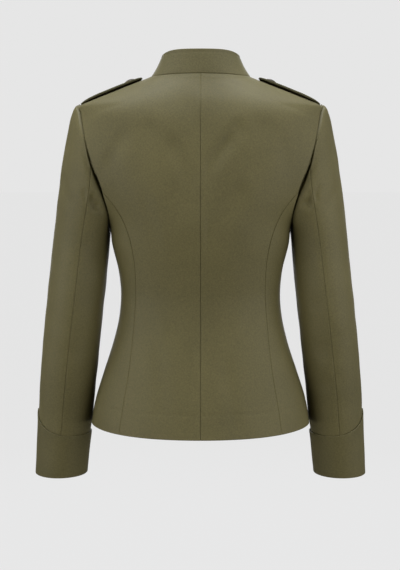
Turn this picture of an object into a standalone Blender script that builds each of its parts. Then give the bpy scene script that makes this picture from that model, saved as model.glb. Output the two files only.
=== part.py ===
"""Short fitted women's jacket of military cut, filled out as it is worn.

Metres, +Z up. The front faces -Y and the wearer's left is +X. The origin lies between the shoulders, level
with the neck seam, where a wearer or a stand carries the garment. Every panel is a wall of cloth on one form:
the torso is a stack of superellipse rings, the sleeves are lofted from the armholes to the wrists.
"""

from collections import namedtuple
from math import asin, atan2, cos, degrees, radians, sin

import bmesh
import bpy
import numpy as np
from mathutils import Matrix, Vector

# Cloth
CLOTH = 0.0018  # wall of a panel: face cloth with its interlining
DOUBLE_CLOTH = 0.0024  # wall of the collar and the cuffs, which are two layers
SEAM_GAP = 0.0003  # clearance between two pieces at a seam
LAID_ON = 0.0003  # clearance under a piece that lies on another

# Torso
HEM = -0.5734
HEM_SIDE_RISE = 0.004  # of the hem at the sides, above its level at the centre
NECK_HALF_WIDTH = 0.081
NECK_DROP = 0.070  # of the neck seam at the centre front
LAP = 0.018  # each front runs this far past the centre front
LAP_RISE = CLOTH + 0.0010  # the right front lies this far outside the left one
LAP_RISE_FROM, LAP_RISE_TO = 0.064, 0.030  # distance from the centre front where it starts and ends rising
BodyRow = namedtuple("BodyRow", "height half_width front back squareness")
BODY = (
    BodyRow(-0.577, 0.1834, 0.124, 0.117, 2.02),
    BodyRow(-0.530, 0.1753, 0.120, 0.110, 2.08),
    BodyRow(-0.480, 0.1600, 0.115, 0.101, 2.18),
    BodyRow(-0.430, 0.1437, 0.110, 0.092, 2.25),
    BodyRow(-0.390, 0.1346, 0.107, 0.086, 2.30),
    BodyRow(-0.355, 0.1315, 0.107, 0.084, 2.30),
    BodyRow(-0.315, 0.1349, 0.1145, 0.089, 2.30),
    BodyRow(-0.270, 0.1452, 0.1265, 0.098, 2.32),
    BodyRow(-0.235, 0.1505, 0.1325, 0.105, 2.35),
    BodyRow(-0.190, 0.1800, 0.1300, 0.1072, 2.40),
    BodyRow(-0.140, 0.2040, 0.1150, 0.1042, 2.45),
    BodyRow(-0.090, 0.2045, 0.0905, 0.0968, 2.40),
    BodyRow(-0.072, 0.2015, 0.081, 0.0928, 2.37),
    BodyRow(-0.058, 0.1983, 0.073, 0.0884, 2.33),
    BodyRow(-0.045, 0.1950, 0.064, 0.0828, 2.30),
    BodyRow(-0.038, 0.1775, 0.059, 0.0792, 2.29),
    BodyRow(-0.020, 0.1322, 0.044, 0.0675, 2.25),
    BodyRow(0.000, 0.0810, 0.026, 0.055, 2.15),
    BodyRow(0.016, 0.0430, 0.012, 0.046, 2.10),
)

# Seams of the torso: the distance from the centre plane at each height
SeamRow = namedtuple("SeamRow", "height across")
BACK_SEAM = (
    SeamRow(-0.577, 0.1315),
    SeamRow(-0.530, 0.1245),
    SeamRow(-0.470, 0.1145),
    SeamRow(-0.400, 0.1073),
    SeamRow(-0.340, 0.1038),
    SeamRow(-0.285, 0.1069),
    SeamRow(-0.245, 0.1165),
    SeamRow(-0.209, 0.1344),
    SeamRow(-0.183, 0.1560),
)
FRONT_SEAM = (
    SeamRow(-0.577, 0.1285),
    SeamRow(-0.470, 0.1150),
    SeamRow(-0.350, 0.1060),
    SeamRow(-0.285, 0.1120),
    SeamRow(-0.225, 0.1300),
    SeamRow(-0.183, 0.1530),
)

# Soft folds of the cloth: troughs between two places, of a depth and a spread to either side
Fold = namedtuple("Fold", "across height to_across to_height spread depth")
BACK_FOLDS = (
    Fold(0.000, -0.085, 0.012, -0.190, 0.040, 0.0035),  # between the shoulder blades
    Fold(0.152, -0.100, 0.128, -0.215, 0.024, 0.0020),  # from the back of the armhole towards the waist
    Fold(0.000, -0.400, 0.085, -0.350, 0.026, 0.0015),  # across the small of the back
)
FRONT_FOLDS = (
    Fold(0.150, -0.110, 0.125, -0.175, 0.024, 0.0025),  # from the front of the armhole towards the bust
    Fold(0.020, -0.385, 0.090, -0.335, 0.026, 0.0015),  # across the waist
)
SLEEVE_FOLDS = (
    Fold(0.105, -0.290, 0.098, -0.440, 0.018, 0.0020),  # down the back of the under sleeve
    Fold(-0.105, -0.375, -0.060, -0.405, 0.016, 0.0028),  # across the bend of the elbow
    Fold(-0.100, -0.435, -0.050, -0.440, 0.014, 0.0016),
)
SLEEVE_RADIUS = 0.05  # turns a sleeve's angle into the distance across of its folds

# Armhole: a loop on the torso, by the angle of a hand that turns from the shoulder (0) by way of the back
# (90) to the underarm (180) and by way of the front (270) to the shoulder again
ARMHOLE_MIDDLE, ARMHOLE_HALF_HEIGHT = -0.140, 0.095
ARMHOLE_BACK, ARMHOLE_FRONT = 37.0, 40.0  # how far round the torso it reaches, in degrees from the side
ARMHOLE_SKEW = 0.21  # its widest part lies below its middle
PANEL_SEAM_TURN = 117.0  # where the back and front seams meet it

# Sleeve: what the cap gains on a straight loft, and the tube below it. The roll puffs it out, the tuck draws
# it in under the edge of the back, and the swing moves its seams on towards the body, in stations.
CapRow = namedtuple("CapRow", "along roll lift tuck swing")
CAP = (
    CapRow(0.000, 0.0000, 0.0000, 0.0000, 0.00),
    CapRow(0.010, 0.0035, 0.0025, 0.0012, 0.03),
    CapRow(0.030, 0.0062, 0.0035, 0.0044, 0.10),
    CapRow(0.065, 0.0078, 0.0035, 0.0056, 0.22),
    CapRow(0.180, 0.0092, 0.0020, 0.0020, 0.42),
    CapRow(0.380, 0.0095, 0.0000, 0.0000, 0.45),
    CapRow(0.620, 0.0068, 0.0000, 0.0000, 0.33),
    CapRow(0.820, 0.0035, 0.0000, 0.0000, 0.15),
    CapRow(1.000, 0.0000, 0.0000, 0.0000, 0.00),
)
ROLL_BACKWARD = 0.35  # share of the roll that points away to the back or the front
TUCK_TURN, TUCK_REACH = 98.0, 34.0  # where tuck and swing are largest, and how soon they fade round it
SleeveRow = namedtuple("SleeveRow", "height inner outer middle half_depth")
SLEEVE = (
    SleeveRow(-0.664, 0.1962, 0.2800, -0.031, 0.0425),
    SleeveRow(-0.620, 0.1916, 0.2767, -0.026, 0.0440),
    SleeveRow(-0.585, 0.1875, 0.2745, -0.022, 0.0456),
    SleeveRow(-0.537, 0.1800, 0.2724, -0.016, 0.0480),
    SleeveRow(-0.468, 0.1718, 0.2659, -0.008, 0.0520),
    SleeveRow(-0.399, 0.1637, 0.2582, -0.001, 0.0560),
    SleeveRow(-0.331, 0.1557, 0.2500, 0.001, 0.0590),
    SleeveRow(-0.2645, 0.1494, 0.2425, -0.003, 0.0610),
)
BICEPS = -0.2645
SLEEVE_END = -0.661
SLEEVE_ROWS = 10  # below the cap
BICEPS_TURN, WRIST_TURN = -2.0, -10.5  # of the sleeve's top line from its outer side, forward, in degrees

# Stations round the armhole, which the panels and the sleeve share
BACK_CELLS, UNDER_CELLS = 8, 6  # from the shoulder to a panel seam, and under the arm between the two
STATIONS = BACK_CELLS * 2 + UNDER_CELLS
BACK_SLEEVE_SEAM, FRONT_SLEEVE_SEAM = 6, 15  # stations where the under sleeve starts and ends

# Panels
SEAM_ROWS = 14  # from the hem to the armhole
BACK_NECK_CELLS, FRONT_NECK_CELLS, SHOULDER_CELLS = 4, 5, 4
CENTRE_BACK_LEVEL, CENTRE_FRONT_LEVEL = -0.165, -0.215  # at the centre, of the row of the seams' top

# Collar
COLLAR_HEIGHT = 0.0411
COLLAR_FALL = 0.0062  # how much lower it is at the sides and the front than at the centre back
COLLAR_ROWS = 3
COLLAR_TOP_SIDE, COLLAR_TOP_BACK, COLLAR_TOP_FRONT = 0.775, 0.93, 0.80  # size of its top by its base
COLLAR_FLARE = 0.35  # how much sooner it leans at its base than at its top
COLLAR_OPENING = 0.003  # between its two ends at the centre front

# Cuff
CUFF_BOTTOM = -0.664
CUFF_TOP = -0.5895
CUFF_PEAK_RISE = 0.038  # of the point on the outer side
CUFF_PEAK_TURN, CUFF_PEAK_REACH = -4.0, 115.0  # of the point, and degrees from it to where the top is level
CUFF_PEAK_POWER = 1.8
CUFF_ROWS = 5
CUFF_SEAM_STATION = -6

# Epaulette: by the distance from the centre plane
StrapRow = namedtuple("StrapRow", "across half_width stand_off crown thickness")
STRAP = (
    StrapRow(0.0945, 0.0040, 0.0016, 0.0000, 0.0040),
    StrapRow(0.0985, 0.0110, 0.0014, 0.0001, 0.0046),
    StrapRow(0.1045, 0.0172, 0.0012, 0.0002, 0.0050),
    StrapRow(0.1120, 0.0197, 0.0010, 0.0003, 0.0053),
    StrapRow(0.1300, 0.0203, 0.0010, 0.0004, 0.0056),
    StrapRow(0.1500, 0.0212, 0.0010, 0.0006, 0.0056),
    StrapRow(0.1700, 0.0222, 0.0010, 0.0012, 0.0056),
    StrapRow(0.1840, 0.0230, 0.0008, 0.0020, 0.0046),
    StrapRow(0.1920, 0.0235, 0.0006, 0.0030, 0.0028),
)
StrapColumn = namedtuple("StrapColumn", "sideways dip")  # the top dips by a share of the thickness
STRAP_COLUMNS = (
    StrapColumn(-1.00, 0.25),
    StrapColumn(-0.90, 0.00),
    StrapColumn(-0.76, 0.33),
    StrapColumn(0.00, 0.33),
    StrapColumn(0.76, 0.33),
    StrapColumn(0.90, 0.00),
    StrapColumn(1.00, 0.25),
)
STRAP_MIDDLE = -0.002  # the strap's middle line lies this far from the shoulder ridge
STRAP_ROWS = 14
SHOULDER_SLOPE = atan2(0.045, 0.114)
RIDGE_STEPS = 60

# Buttons
STRAP_BUTTON_RADIUS, STRAP_BUTTON_HEIGHT = 0.0085, 0.0050
STRAP_BUTTON_ACROSS = 0.1145
FRONT_BUTTON_RADIUS, FRONT_BUTTON_HEIGHT = 0.0100, 0.0042
ButtonRow = namedtuple("ButtonRow", "height thread")  # it stands the thread's length off the cloth
FRONT_BUTTONS = (
    ButtonRow(-0.095, 0.0005),
    ButtonRow(-0.175, 0.0003),
    ButtonRow(-0.255, 0.0003),
    ButtonRow(-0.335, 0.0008),
    ButtonRow(-0.415, 0.0008),
    ButtonRow(-0.495, 0.0006),
)
BUTTON_SIDES = 18
ProfileRow = namedtuple("ProfileRow", "across up")
BUTTON_PROFILE = (
    ProfileRow(0.00, 1.00),
    ProfileRow(0.45, 0.93),
    ProfileRow(0.80, 0.70),
    ProfileRow(1.00, 0.36),
    ProfileRow(0.96, 0.00),
    ProfileRow(0.00, 0.00),
)

# Finishes: colours as linear RGB
OLIVE = (0.118, 0.108, 0.052)
HORN = (0.050, 0.034, 0.020)
CLOTH_ROUGHNESS, CLOTH_SHEEN, HORN_ROUGHNESS = 0.62, 0.2, 0.35
SHARP_EDGE = radians(50)


def smooth(rows, column, at):
    """A table's column at the given places, on a smooth curve through its rows."""
    keys = np.array([row[0] for row in rows])
    values = np.array([getattr(row, column) for row in rows])
    slopes = np.gradient(values, keys)
    at = np.clip(at, keys[0], keys[-1])
    low = np.clip(np.searchsorted(keys, at) - 1, 0, len(keys) - 2)
    span = keys[low + 1] - keys[low]
    part = (at - keys[low]) / span
    start = values[low] * (1 + 2 * part) + span * slopes[low] * part
    end = values[low + 1] * (3 - 2 * part) - span * slopes[low + 1] * (1 - part)
    return start * (1 - part) ** 2 + end * part**2


def trough(folds, across, height):
    """How deep the folds are at these places."""
    depth = 0 * (across + height)
    for fold in folds:
        run = np.array([fold.to_across - fold.across, fold.to_height - fold.height])
        part = (across - fold.across) * run[0] + (height - fold.height) * run[1]
        part = np.clip(part / (run @ run), 0, 1)
        off_line = (across - fold.across - part * run[0]) ** 2 + (height - fold.height - part * run[1]) ** 2
        depth = depth + fold.depth * np.exp(-off_line / fold.spread**2)
    return depth


def body_depth(height, backward):
    return np.where(backward, smooth(BODY, "back", height), smooth(BODY, "front", height))


def body_at_angle(height, angle):
    """Points of the torso at these heights, angle degrees round from the left side towards the back."""
    turn = np.radians(angle)
    power = 2 / smooth(BODY, "squareness", height)
    x = smooth(BODY, "half_width", height) * np.sign(np.cos(turn)) * np.abs(np.cos(turn)) ** power
    y = body_depth(height, turn > 0) * np.sign(np.sin(turn)) * np.abs(np.sin(turn)) ** power
    y = y - np.sin(turn).clip(0) * trough(BACK_FOLDS, np.abs(x), height)
    y = y + np.sin(-turn).clip(0) * trough(FRONT_FOLDS, np.abs(x), height)
    return np.stack([x, y, height + 0 * x], axis=-1)


def body_angle(height, across):
    """The angle of body_at_angle, without its sign, at a distance from the centre plane."""
    part = np.abs(across) / smooth(BODY, "half_width", height)
    cosine = np.minimum(part, 1) ** (smooth(BODY, "squareness", height) / 2)
    return np.degrees(np.arccos(np.sign(across) * cosine))


def body_level(points):
    """1 on the torso's surface, less inside it and more outside."""
    x, y, height = np.moveaxis(points, -1, 0)
    squareness = smooth(BODY, "squareness", height)
    width_part = np.abs(x) / smooth(BODY, "half_width", height)
    depth_part = np.abs(y) / body_depth(height, y > 0)
    return width_part**squareness + depth_part**squareness


def body_normal(points):
    steps = np.eye(3) * 0.0001
    slope = [body_level(points + step) - body_level(points - step) for step in steps]
    normal = np.stack(slope, axis=-1)
    return normal / np.linalg.norm(normal, axis=-1, keepdims=True)


def armhole(turn):
    """(height, angle) of the armhole at a turn of its hand."""
    sine, cosine = np.sin(np.radians(turn)), np.cos(np.radians(turn))
    reach = np.where(sine > 0, ARMHOLE_BACK, ARMHOLE_FRONT)
    return ARMHOLE_MIDDLE + ARMHOLE_HALF_HEIGHT * cosine, reach * sine * (1 - ARMHOLE_SKEW * cosine)


def armhole_turns():
    back = np.linspace(0, PANEL_SEAM_TURN, BACK_CELLS + 1)
    under = np.linspace(PANEL_SEAM_TURN, 360 - PANEL_SEAM_TURN, UNDER_CELLS + 1)
    return np.concatenate([back, under[1:], 360 - back[-2::-1]])


def patch(bottom, top, left, right):
    """A grid of points between four rows of points: rows from bottom to top, columns from left to right."""
    u = np.linspace(0, 1, len(bottom))[None, :, None]
    v = np.linspace(0, 1, len(left))[:, None, None]
    across = (1 - v) * bottom[None] + v * top[None]
    upward = (1 - u) * left[:, None] + u * right[:, None]
    corners = (1 - v) * ((1 - u) * bottom[0] + u * bottom[-1]) + v * ((1 - u) * top[0] + u * top[-1])
    return across + upward - corners


def drawn_in(points):
    """The grid with its four edges moved in by half a seam's gap."""
    moved = points.copy()
    for edge, inner in ((0, 1), (-1, -2)):
        for axis in (0, 1):
            rows = np.moveaxis(points, axis, 0)
            step = rows[inner] - rows[edge]
            step *= SEAM_GAP / 2 / np.linalg.norm(step, axis=-1, keepdims=True)
            np.moveaxis(moved, axis, 0)[edge] += step
    return moved


def hem_height(across):
    return HEM + HEM_SIDE_RISE * (np.abs(across) / BODY[0].half_width) ** 4


def seam_rows(seam):
    """(across, height) down a panel seam, from the hem up to the armhole."""
    top = armhole(PANEL_SEAM_TURN)[0]
    heights = np.linspace(hem_height(seam[0].across), top, SEAM_ROWS + 1)
    return np.stack([smooth(seam, "across", heights), heights], axis=-1)


def shoulder_row():
    """(across, height) along the shoulder seam, from the neck to the armhole."""
    top = armhole(0.0)[0]
    height = np.linspace(0, top, SHOULDER_CELLS + 1)
    return np.stack([smooth(BODY, "half_width", height), height], axis=-1)


def back_neck_row():
    """(across, height) along the neck seam, from the centre back to the shoulder."""
    turn = np.linspace(90, 0, BACK_NECK_CELLS + 1)
    return np.stack([body_at_angle(0.0, turn)[:, 0], 0 * turn], axis=-1)


def front_neck_row():
    """(across, height) along the neck seam, from a front's edge past the centre to the shoulder."""
    past = degrees(asin(LAP / NECK_HALF_WIDTH))
    turn = np.radians(np.concatenate([[90 + past, 90], np.linspace(90 - past, 0, FRONT_NECK_CELLS)]))
    return np.stack([NECK_HALF_WIDTH * np.cos(turn), -NECK_DROP * np.sin(turn) ** 2], axis=-1)


def armhole_row(seam_side):
    """(across, height) up the armhole, from a panel seam to the shoulder."""
    turn = np.linspace(PANEL_SEAM_TURN, 0, BACK_CELLS + 1)
    height, angle = armhole(turn if seam_side > 0 else 360 - turn)
    return np.stack([body_at_angle(height, angle)[:, 0], height], axis=-1)


def centre_rows(across, level, top):
    """(across, height) up the centre: even rows to a level, then closer and closer ones to the top."""
    lower = np.linspace(HEM, level, SEAM_ROWS + 1)
    upper = top + (level - top) * (1 - np.cos(np.linspace(np.pi / 2, 0, BACK_CELLS + 1)))
    return np.stack([np.full(SEAM_ROWS + BACK_CELLS + 1, across), np.append(lower, upper[1:])], axis=-1)


def body_panel(seam, seam_side, first_columns, level, neck):
    """Points of a left back (seam_side 1) or front (-1), its first columns this far from the centre plane."""
    top = np.concatenate([neck, shoulder_row()[1:]])
    right = np.concatenate([seam_rows(seam)[:-1], armhole_row(seam_side)])
    left = centre_rows(first_columns[0], level, neck[0, 1])
    hem_angles = body_angle(HEM, np.append(first_columns, right[0, 0]))
    even = np.linspace(hem_angles[-2], hem_angles[-1], len(top) - len(first_columns) + 1)
    hem_across = body_at_angle(HEM, np.append(hem_angles[:-2], even))[:, 0]
    bottom = np.stack([hem_across, hem_height(hem_across)], axis=-1)
    bottom[[0, -1]] = left[0], right[0]
    across, height = np.moveaxis(patch(bottom, top, left, right), -1, 0)
    return body_at_angle(height, body_angle(height, across) * seam_side)


def back_points():
    return body_panel(BACK_SEAM, 1, [0.0], CENTRE_BACK_LEVEL, back_neck_row())


def front_points(rises):
    """Points of the left front, or of the mirrored right one, which rises over the other at the centre."""
    points = body_panel(FRONT_SEAM, -1, [-LAP, 0.0, LAP], CENTRE_FRONT_LEVEL, front_neck_row())
    if not rises:
        return points
    part = np.clip((LAP_RISE_FROM - points[..., :1]) / (LAP_RISE_FROM - LAP_RISE_TO), 0, 1)
    return points + body_normal(points) * LAP_RISE * part**2 * (3 - 2 * part)


def side_points():
    """Points of the left side body, from the back seam round to the front seam."""
    back, front = seam_rows(BACK_SEAM), seam_rows(FRONT_SEAM)
    left = np.stack([body_angle(back[:, 1], back[:, 0]), back[:, 1]], axis=-1)
    right = np.stack([-body_angle(front[:, 1], front[:, 0]), front[:, 1]], axis=-1)
    turns = np.linspace(PANEL_SEAM_TURN, 360 - PANEL_SEAM_TURN, UNDER_CELLS + 1)
    height, angle = armhole(turns)
    top = np.stack([angle, height], axis=-1)
    left[-1], right[-1] = top[0], top[-1]
    hem_angles = np.linspace(left[0, 0], right[0, 0], UNDER_CELLS + 1)
    bottom = np.stack([hem_angles, hem_height(body_at_angle(HEM, hem_angles)[:, 0])], axis=-1)
    bottom[[0, -1]] = left[0], right[0]
    angle, height = np.moveaxis(patch(bottom, top, left, right), -1, 0)
    return body_at_angle(height, angle)


def sleeve_ring(height, turn):
    """Points round the sleeve: turn 0 is its outer side, 90 its back and 180 the side next to the body."""
    inner, outer = smooth(SLEEVE, "inner", height), smooth(SLEEVE, "outer", height)
    turn = (turn + 180) % 360 - 180
    hollow = trough(SLEEVE_FOLDS, np.radians(turn) * SLEEVE_RADIUS, height)
    turn = np.radians(turn)
    x = (inner + outer) / 2 + ((outer - inner) / 2 - hollow) * np.cos(turn)
    y = smooth(SLEEVE, "middle", height) + (smooth(SLEEVE, "half_depth", height) - hollow) * np.sin(turn)
    return np.stack([x, y, height + 0 * x], axis=-1)


def sleeve_turn(height, station):
    """The turn of sleeve_ring at a station round the sleeve. The seams swing forward towards the wrist."""
    down = (BICEPS - height) / (BICEPS - SLEEVE_END)
    return BICEPS_TURN + (WRIST_TURN - BICEPS_TURN) * down + station * 360 / STATIONS


def cap_ring(row, stations):
    """Points round the cap of the left sleeve at one of its rows."""
    near_back = np.exp(-(((armhole_turns() - TUCK_TURN) / TUCK_REACH) ** 2))
    moved = stations + row.swing * near_back
    start = body_at_angle(*armhole(np.interp(moved, stations, armhole_turns())))
    turn = sleeve_turn(BICEPS, moved)
    end = sleeve_ring(BICEPS, turn)
    sine, cosine = np.sin(np.radians(turn)), np.cos(np.radians(turn))
    share = (1 + cosine) / 2
    puff_back = row.roll * ROLL_BACKWARD * sine * share - row.tuck * near_back
    puff = [row.roll * share, puff_back, row.lift * share]
    return start + (end - start) * row.along + np.stack(puff, axis=-1)


def sleeve_points():
    """Points of the left sleeve: rows from the armhole to the wrist, columns round by way of the back."""
    stations = np.arange(STATIONS + 1)
    cap = [cap_ring(row, stations) for row in CAP]
    height = np.linspace(BICEPS, SLEEVE_END, SLEEVE_ROWS + 1)[1:, None]
    return np.concatenate([cap, sleeve_ring(height, sleeve_turn(height, stations))])


def towards_middle(rings):
    """Unit vectors from each point of each ring to the ring's middle."""
    inward = rings.mean(axis=1, keepdims=True) - rings
    return inward / np.linalg.norm(inward, axis=-1, keepdims=True)


def neck_seam():
    """Points of the left half of the neck seam, from the centre back to the centre front."""
    back = back_neck_row()
    front = front_neck_row()[-2:0:-1]
    back_points_3d = body_at_angle(back[:, 1], body_angle(back[:, 1], back[:, 0]))
    front_points_3d = body_at_angle(front[:, 1], -body_angle(front[:, 1], front[:, 0]))
    return np.concatenate([back_points_3d, front_points_3d])


def collar_points():
    """Points of the collar: rows from the neck seam up, columns round from one end to the other."""
    half = neck_seam()
    half[-1, 0] = COLLAR_OPENING / 2
    base = np.concatenate([half[::-1] * (-1, 1, 1), half[1:]])
    deep = np.where(base[:, 1] > 0, COLLAR_TOP_BACK, COLLAR_TOP_FRONT)
    top = base * np.stack([np.full_like(deep, COLLAR_TOP_SIDE), deep, np.ones_like(deep)], axis=-1)
    top[[0, -1], 0] = base[[0, -1], 0]
    rise = np.linspace(0, 1, COLLAR_ROWS + 1)[:, None, None]
    lean = rise * (1 + COLLAR_FLARE * (1 - rise))
    round_neck = np.arctan2(base[:, 1:2], np.abs(base[:, :1]))
    height = COLLAR_HEIGHT - COLLAR_FALL * (1 - np.sin(round_neck).clip(0) ** 2)
    return base + (top - base) * lean + np.array([0, 0, 1]) * (SEAM_GAP + height * rise)


def cuff_points(offset):
    """Points of the left cuff, this far outside the sleeve: rows from the wrist up, columns round."""
    station = CUFF_SEAM_STATION + np.arange(STATIONS + 1)
    from_peak = np.abs((sleeve_turn(CUFF_TOP, station) - CUFF_PEAK_TURN + 180) % 360 - 180)
    peak = np.clip(1 - from_peak / CUFF_PEAK_REACH, 0, 1) ** CUFF_PEAK_POWER
    top = CUFF_TOP + CUFF_PEAK_RISE * peak
    height = CUFF_BOTTOM + (top - CUFF_BOTTOM) * np.linspace(0, 1, CUFF_ROWS + 1)[:, None]
    rings = sleeve_ring(height, sleeve_turn(height, station))
    return rings - towards_middle(rings) * offset


def ridge_height(across):
    """Height of the shoulder ridge at a distance from the centre plane."""
    heights = np.linspace(BODY[-1].height, armhole(0.0)[0], RIDGE_STEPS)
    return np.interp(across, smooth(BODY, "half_width", heights), heights)


def strap_points(share):
    """Points of the left epaulette at a share of its thickness: rows from its tip out, columns across."""
    across = np.linspace(STRAP[0].across, STRAP[-1].across, STRAP_ROWS + 1)[:, None]
    sideways, dip = np.array(STRAP_COLUMNS).T
    y = STRAP_MIDDLE + smooth(STRAP, "half_width", across) * sideways
    height = ridge_height(across) + smooth(STRAP, "stand_off", across)
    height = height - smooth(STRAP, "crown", across) * sideways**2
    height = height + smooth(STRAP, "thickness", across) * (1 - dip) * share
    return np.stack([across + 0 * y, y, height], axis=-1)


def place(obj, collection, carrier):
    collection.objects.link(obj)
    obj.parent = carrier


def shade_round(mesh):
    mesh.shade_smooth()
    mesh.set_sharp_from_angle(angle=SHARP_EDGE)


def cloth_material(name):
    material = bpy.data.materials.new(name)
    material.use_nodes = True
    shader = material.node_tree.nodes["Principled BSDF"]
    shader.inputs["Base Color"].default_value = (*OLIVE, 1)
    shader.inputs["Roughness"].default_value = CLOTH_ROUGHNESS
    shader.inputs["Sheen Weight"].default_value = CLOTH_SHEEN
    return material


def horn_material(name):
    material = bpy.data.materials.new(name)
    material.use_nodes = True
    shader = material.node_tree.nodes["Principled BSDF"]
    shader.inputs["Base Color"].default_value = (*HORN, 1)
    shader.inputs["Roughness"].default_value = HORN_ROUGHNESS
    return material


def wall(name, outer, inner):
    """A closed solid between two grids of points, one on each face of a piece of cloth."""
    rows, columns = outer.shape[:2]
    mesh = bpy.data.meshes.new(name)
    bm = bmesh.new()
    faces = [[[bm.verts.new(point) for point in row] for row in grid] for grid in (outer, inner)]
    for grid in faces:
        for j in range(rows - 1):
            for i in range(columns - 1):
                bm.faces.new((grid[j][i], grid[j][i + 1], grid[j + 1][i + 1], grid[j + 1][i]))
    rim = [(0, i) for i in range(columns)] + [(j, columns - 1) for j in range(1, rows)]
    rim += [(rows - 1, i) for i in range(columns - 2, -1, -1)] + [(j, 0) for j in range(rows - 2, 0, -1)]
    for (j, i), (next_j, next_i) in zip(rim, rim[1:] + rim[:1]):
        bm.faces.new((faces[0][j][i], faces[0][next_j][next_i], faces[1][next_j][next_i], faces[1][j][i]))
    bmesh.ops.recalc_face_normals(bm, faces=bm.faces)
    bm.to_mesh(mesh)
    bm.free()
    shade_round(mesh)
    mesh.materials.append(cloth_material(name + "_cloth"))
    return bpy.data.objects.new(name, mesh)


def both_sides(name, outer, inner):
    """The left piece and its mirror image."""
    return [wall(name + "_left", outer, inner), wall(name + "_right", outer * (-1, 1, 1), inner * (-1, 1, 1))]


def on_body(points):
    """The outer and inner faces of a panel of the torso."""
    outer = drawn_in(points)
    return outer, outer - body_normal(outer) * CLOTH


def body_pieces():
    under, over = on_body(front_points(False)), on_body(front_points(True))
    pieces = both_sides("back", *on_body(back_points()))
    pieces += both_sides("side", *on_body(side_points()))
    pieces.append(wall("front_left", *under))
    pieces.append(wall("front_right", *(face * (-1, 1, 1) for face in over)))
    return pieces


def sleeve_pieces():
    outer = sleeve_points()
    inner = outer + towards_middle(outer) * CLOTH
    upper = np.r_[FRONT_SLEEVE_SEAM : outer.shape[1] - 1, 0 : BACK_SLEEVE_SEAM + 1]
    under = np.r_[BACK_SLEEVE_SEAM : FRONT_SLEEVE_SEAM + 1]
    pieces = []
    for name, columns in (("upper_sleeve", upper), ("under_sleeve", under)):
        face = drawn_in(outer[:, columns])
        pieces += both_sides(name, face, face + (inner - outer)[:, columns])
    return pieces


def collar_piece():
    outer = collar_points()
    inward = outer * (-1, -1, 0)
    inward[:, [0, -1], 0] = 0
    inward /= np.linalg.norm(inward, axis=-1, keepdims=True)
    return [wall("collar", outer, outer + inward * DOUBLE_CLOTH)]


def cuff_pieces():
    outer = drawn_in(cuff_points(LAID_ON + DOUBLE_CLOTH))
    inner = drawn_in(cuff_points(LAID_ON))
    return both_sides("cuff", outer, inner)


def strap_pieces():
    return both_sides("epaulette", strap_points(1), strap_points(0))


def button(name, place_at, facing, radius, height):
    """A domed button turned from its profile, its flat back at place_at and its face towards facing."""
    mesh = bpy.data.meshes.new(name)
    points = [(radius * row.across, 0, height * row.up) for row in BUTTON_PROFILE]
    mesh.from_pydata(points, [(i, i + 1) for i in range(len(points) - 1)], [])
    mesh.materials.append(horn_material(name + "_horn"))
    obj = bpy.data.objects.new(name, mesh)
    screw = obj.modifiers.new("turned", "SCREW")
    screw.steps = screw.render_steps = BUTTON_SIDES
    screw.use_merge_vertices = True
    screw.merge_threshold = 0.00002
    screw.use_smooth_shade = True
    upright = Vector((0, 0, 1)).rotation_difference(Vector(facing)).to_matrix().to_4x4()
    obj.matrix_world = Matrix.Translation(place_at) @ upright
    return obj


def strap_buttons():
    """One on each epaulette, near its tip."""
    row = STRAP_BUTTON_ACROSS
    inlay = smooth(STRAP, "thickness", row) * (1 - STRAP_COLUMNS[3].dip)
    top = ridge_height(row) + smooth(STRAP, "stand_off", row) + inlay
    pieces = []
    for name, side in (("left", 1), ("right", -1)):
        facing = (side * sin(SHOULDER_SLOPE), 0, cos(SHOULDER_SLOPE))
        at = Vector((side * row, STRAP_MIDDLE, top)) + Vector(facing) * LAID_ON
        name = "epaulette_button_" + name
        pieces.append(button(name, at, facing, STRAP_BUTTON_RADIUS, STRAP_BUTTON_HEIGHT))
    return pieces


def front_buttons():
    """Down the centre front, on the lap of the right front."""
    pieces = []
    for number, row in enumerate(FRONT_BUTTONS, 1):
        on_form = body_at_angle(row.height, -90.0)
        facing = body_normal(on_form)
        at = on_form + facing * (LAP_RISE + row.thread)
        name = f"front_button_{number}"
        pieces.append(button(name, Vector(at), facing, FRONT_BUTTON_RADIUS, FRONT_BUTTON_HEIGHT))
    return pieces


def main():
    for obj in list(bpy.data.objects):
        bpy.data.objects.remove(obj)
    jacket = bpy.data.collections.new("military_jacket")
    bpy.context.scene.collection.children.link(jacket)
    carrier = bpy.data.objects.new("shoulders", None)
    jacket.objects.link(carrier)
    pieces = body_pieces() + collar_piece() + sleeve_pieces() + cuff_pieces()
    pieces += strap_pieces() + strap_buttons() + front_buttons()
    for piece in pieces:
        place(piece, jacket, carrier)


main()
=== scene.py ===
"""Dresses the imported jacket: thin shells of twill on the form of its solids, with sewn and turned edges,
soft folds, corded epaulettes, buttons and buttonholes, on a pale floor in soft light.

The form is the solids', with a rounder collar, an arched neck seam and slightly slimmer sleeves beside the
hem. Metres, +Z up. The front faces -Y and the wearer's left is +X.
"""

from collections import namedtuple
from math import asin, atan, atan2, cos, pi, radians, sin, sqrt

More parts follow.
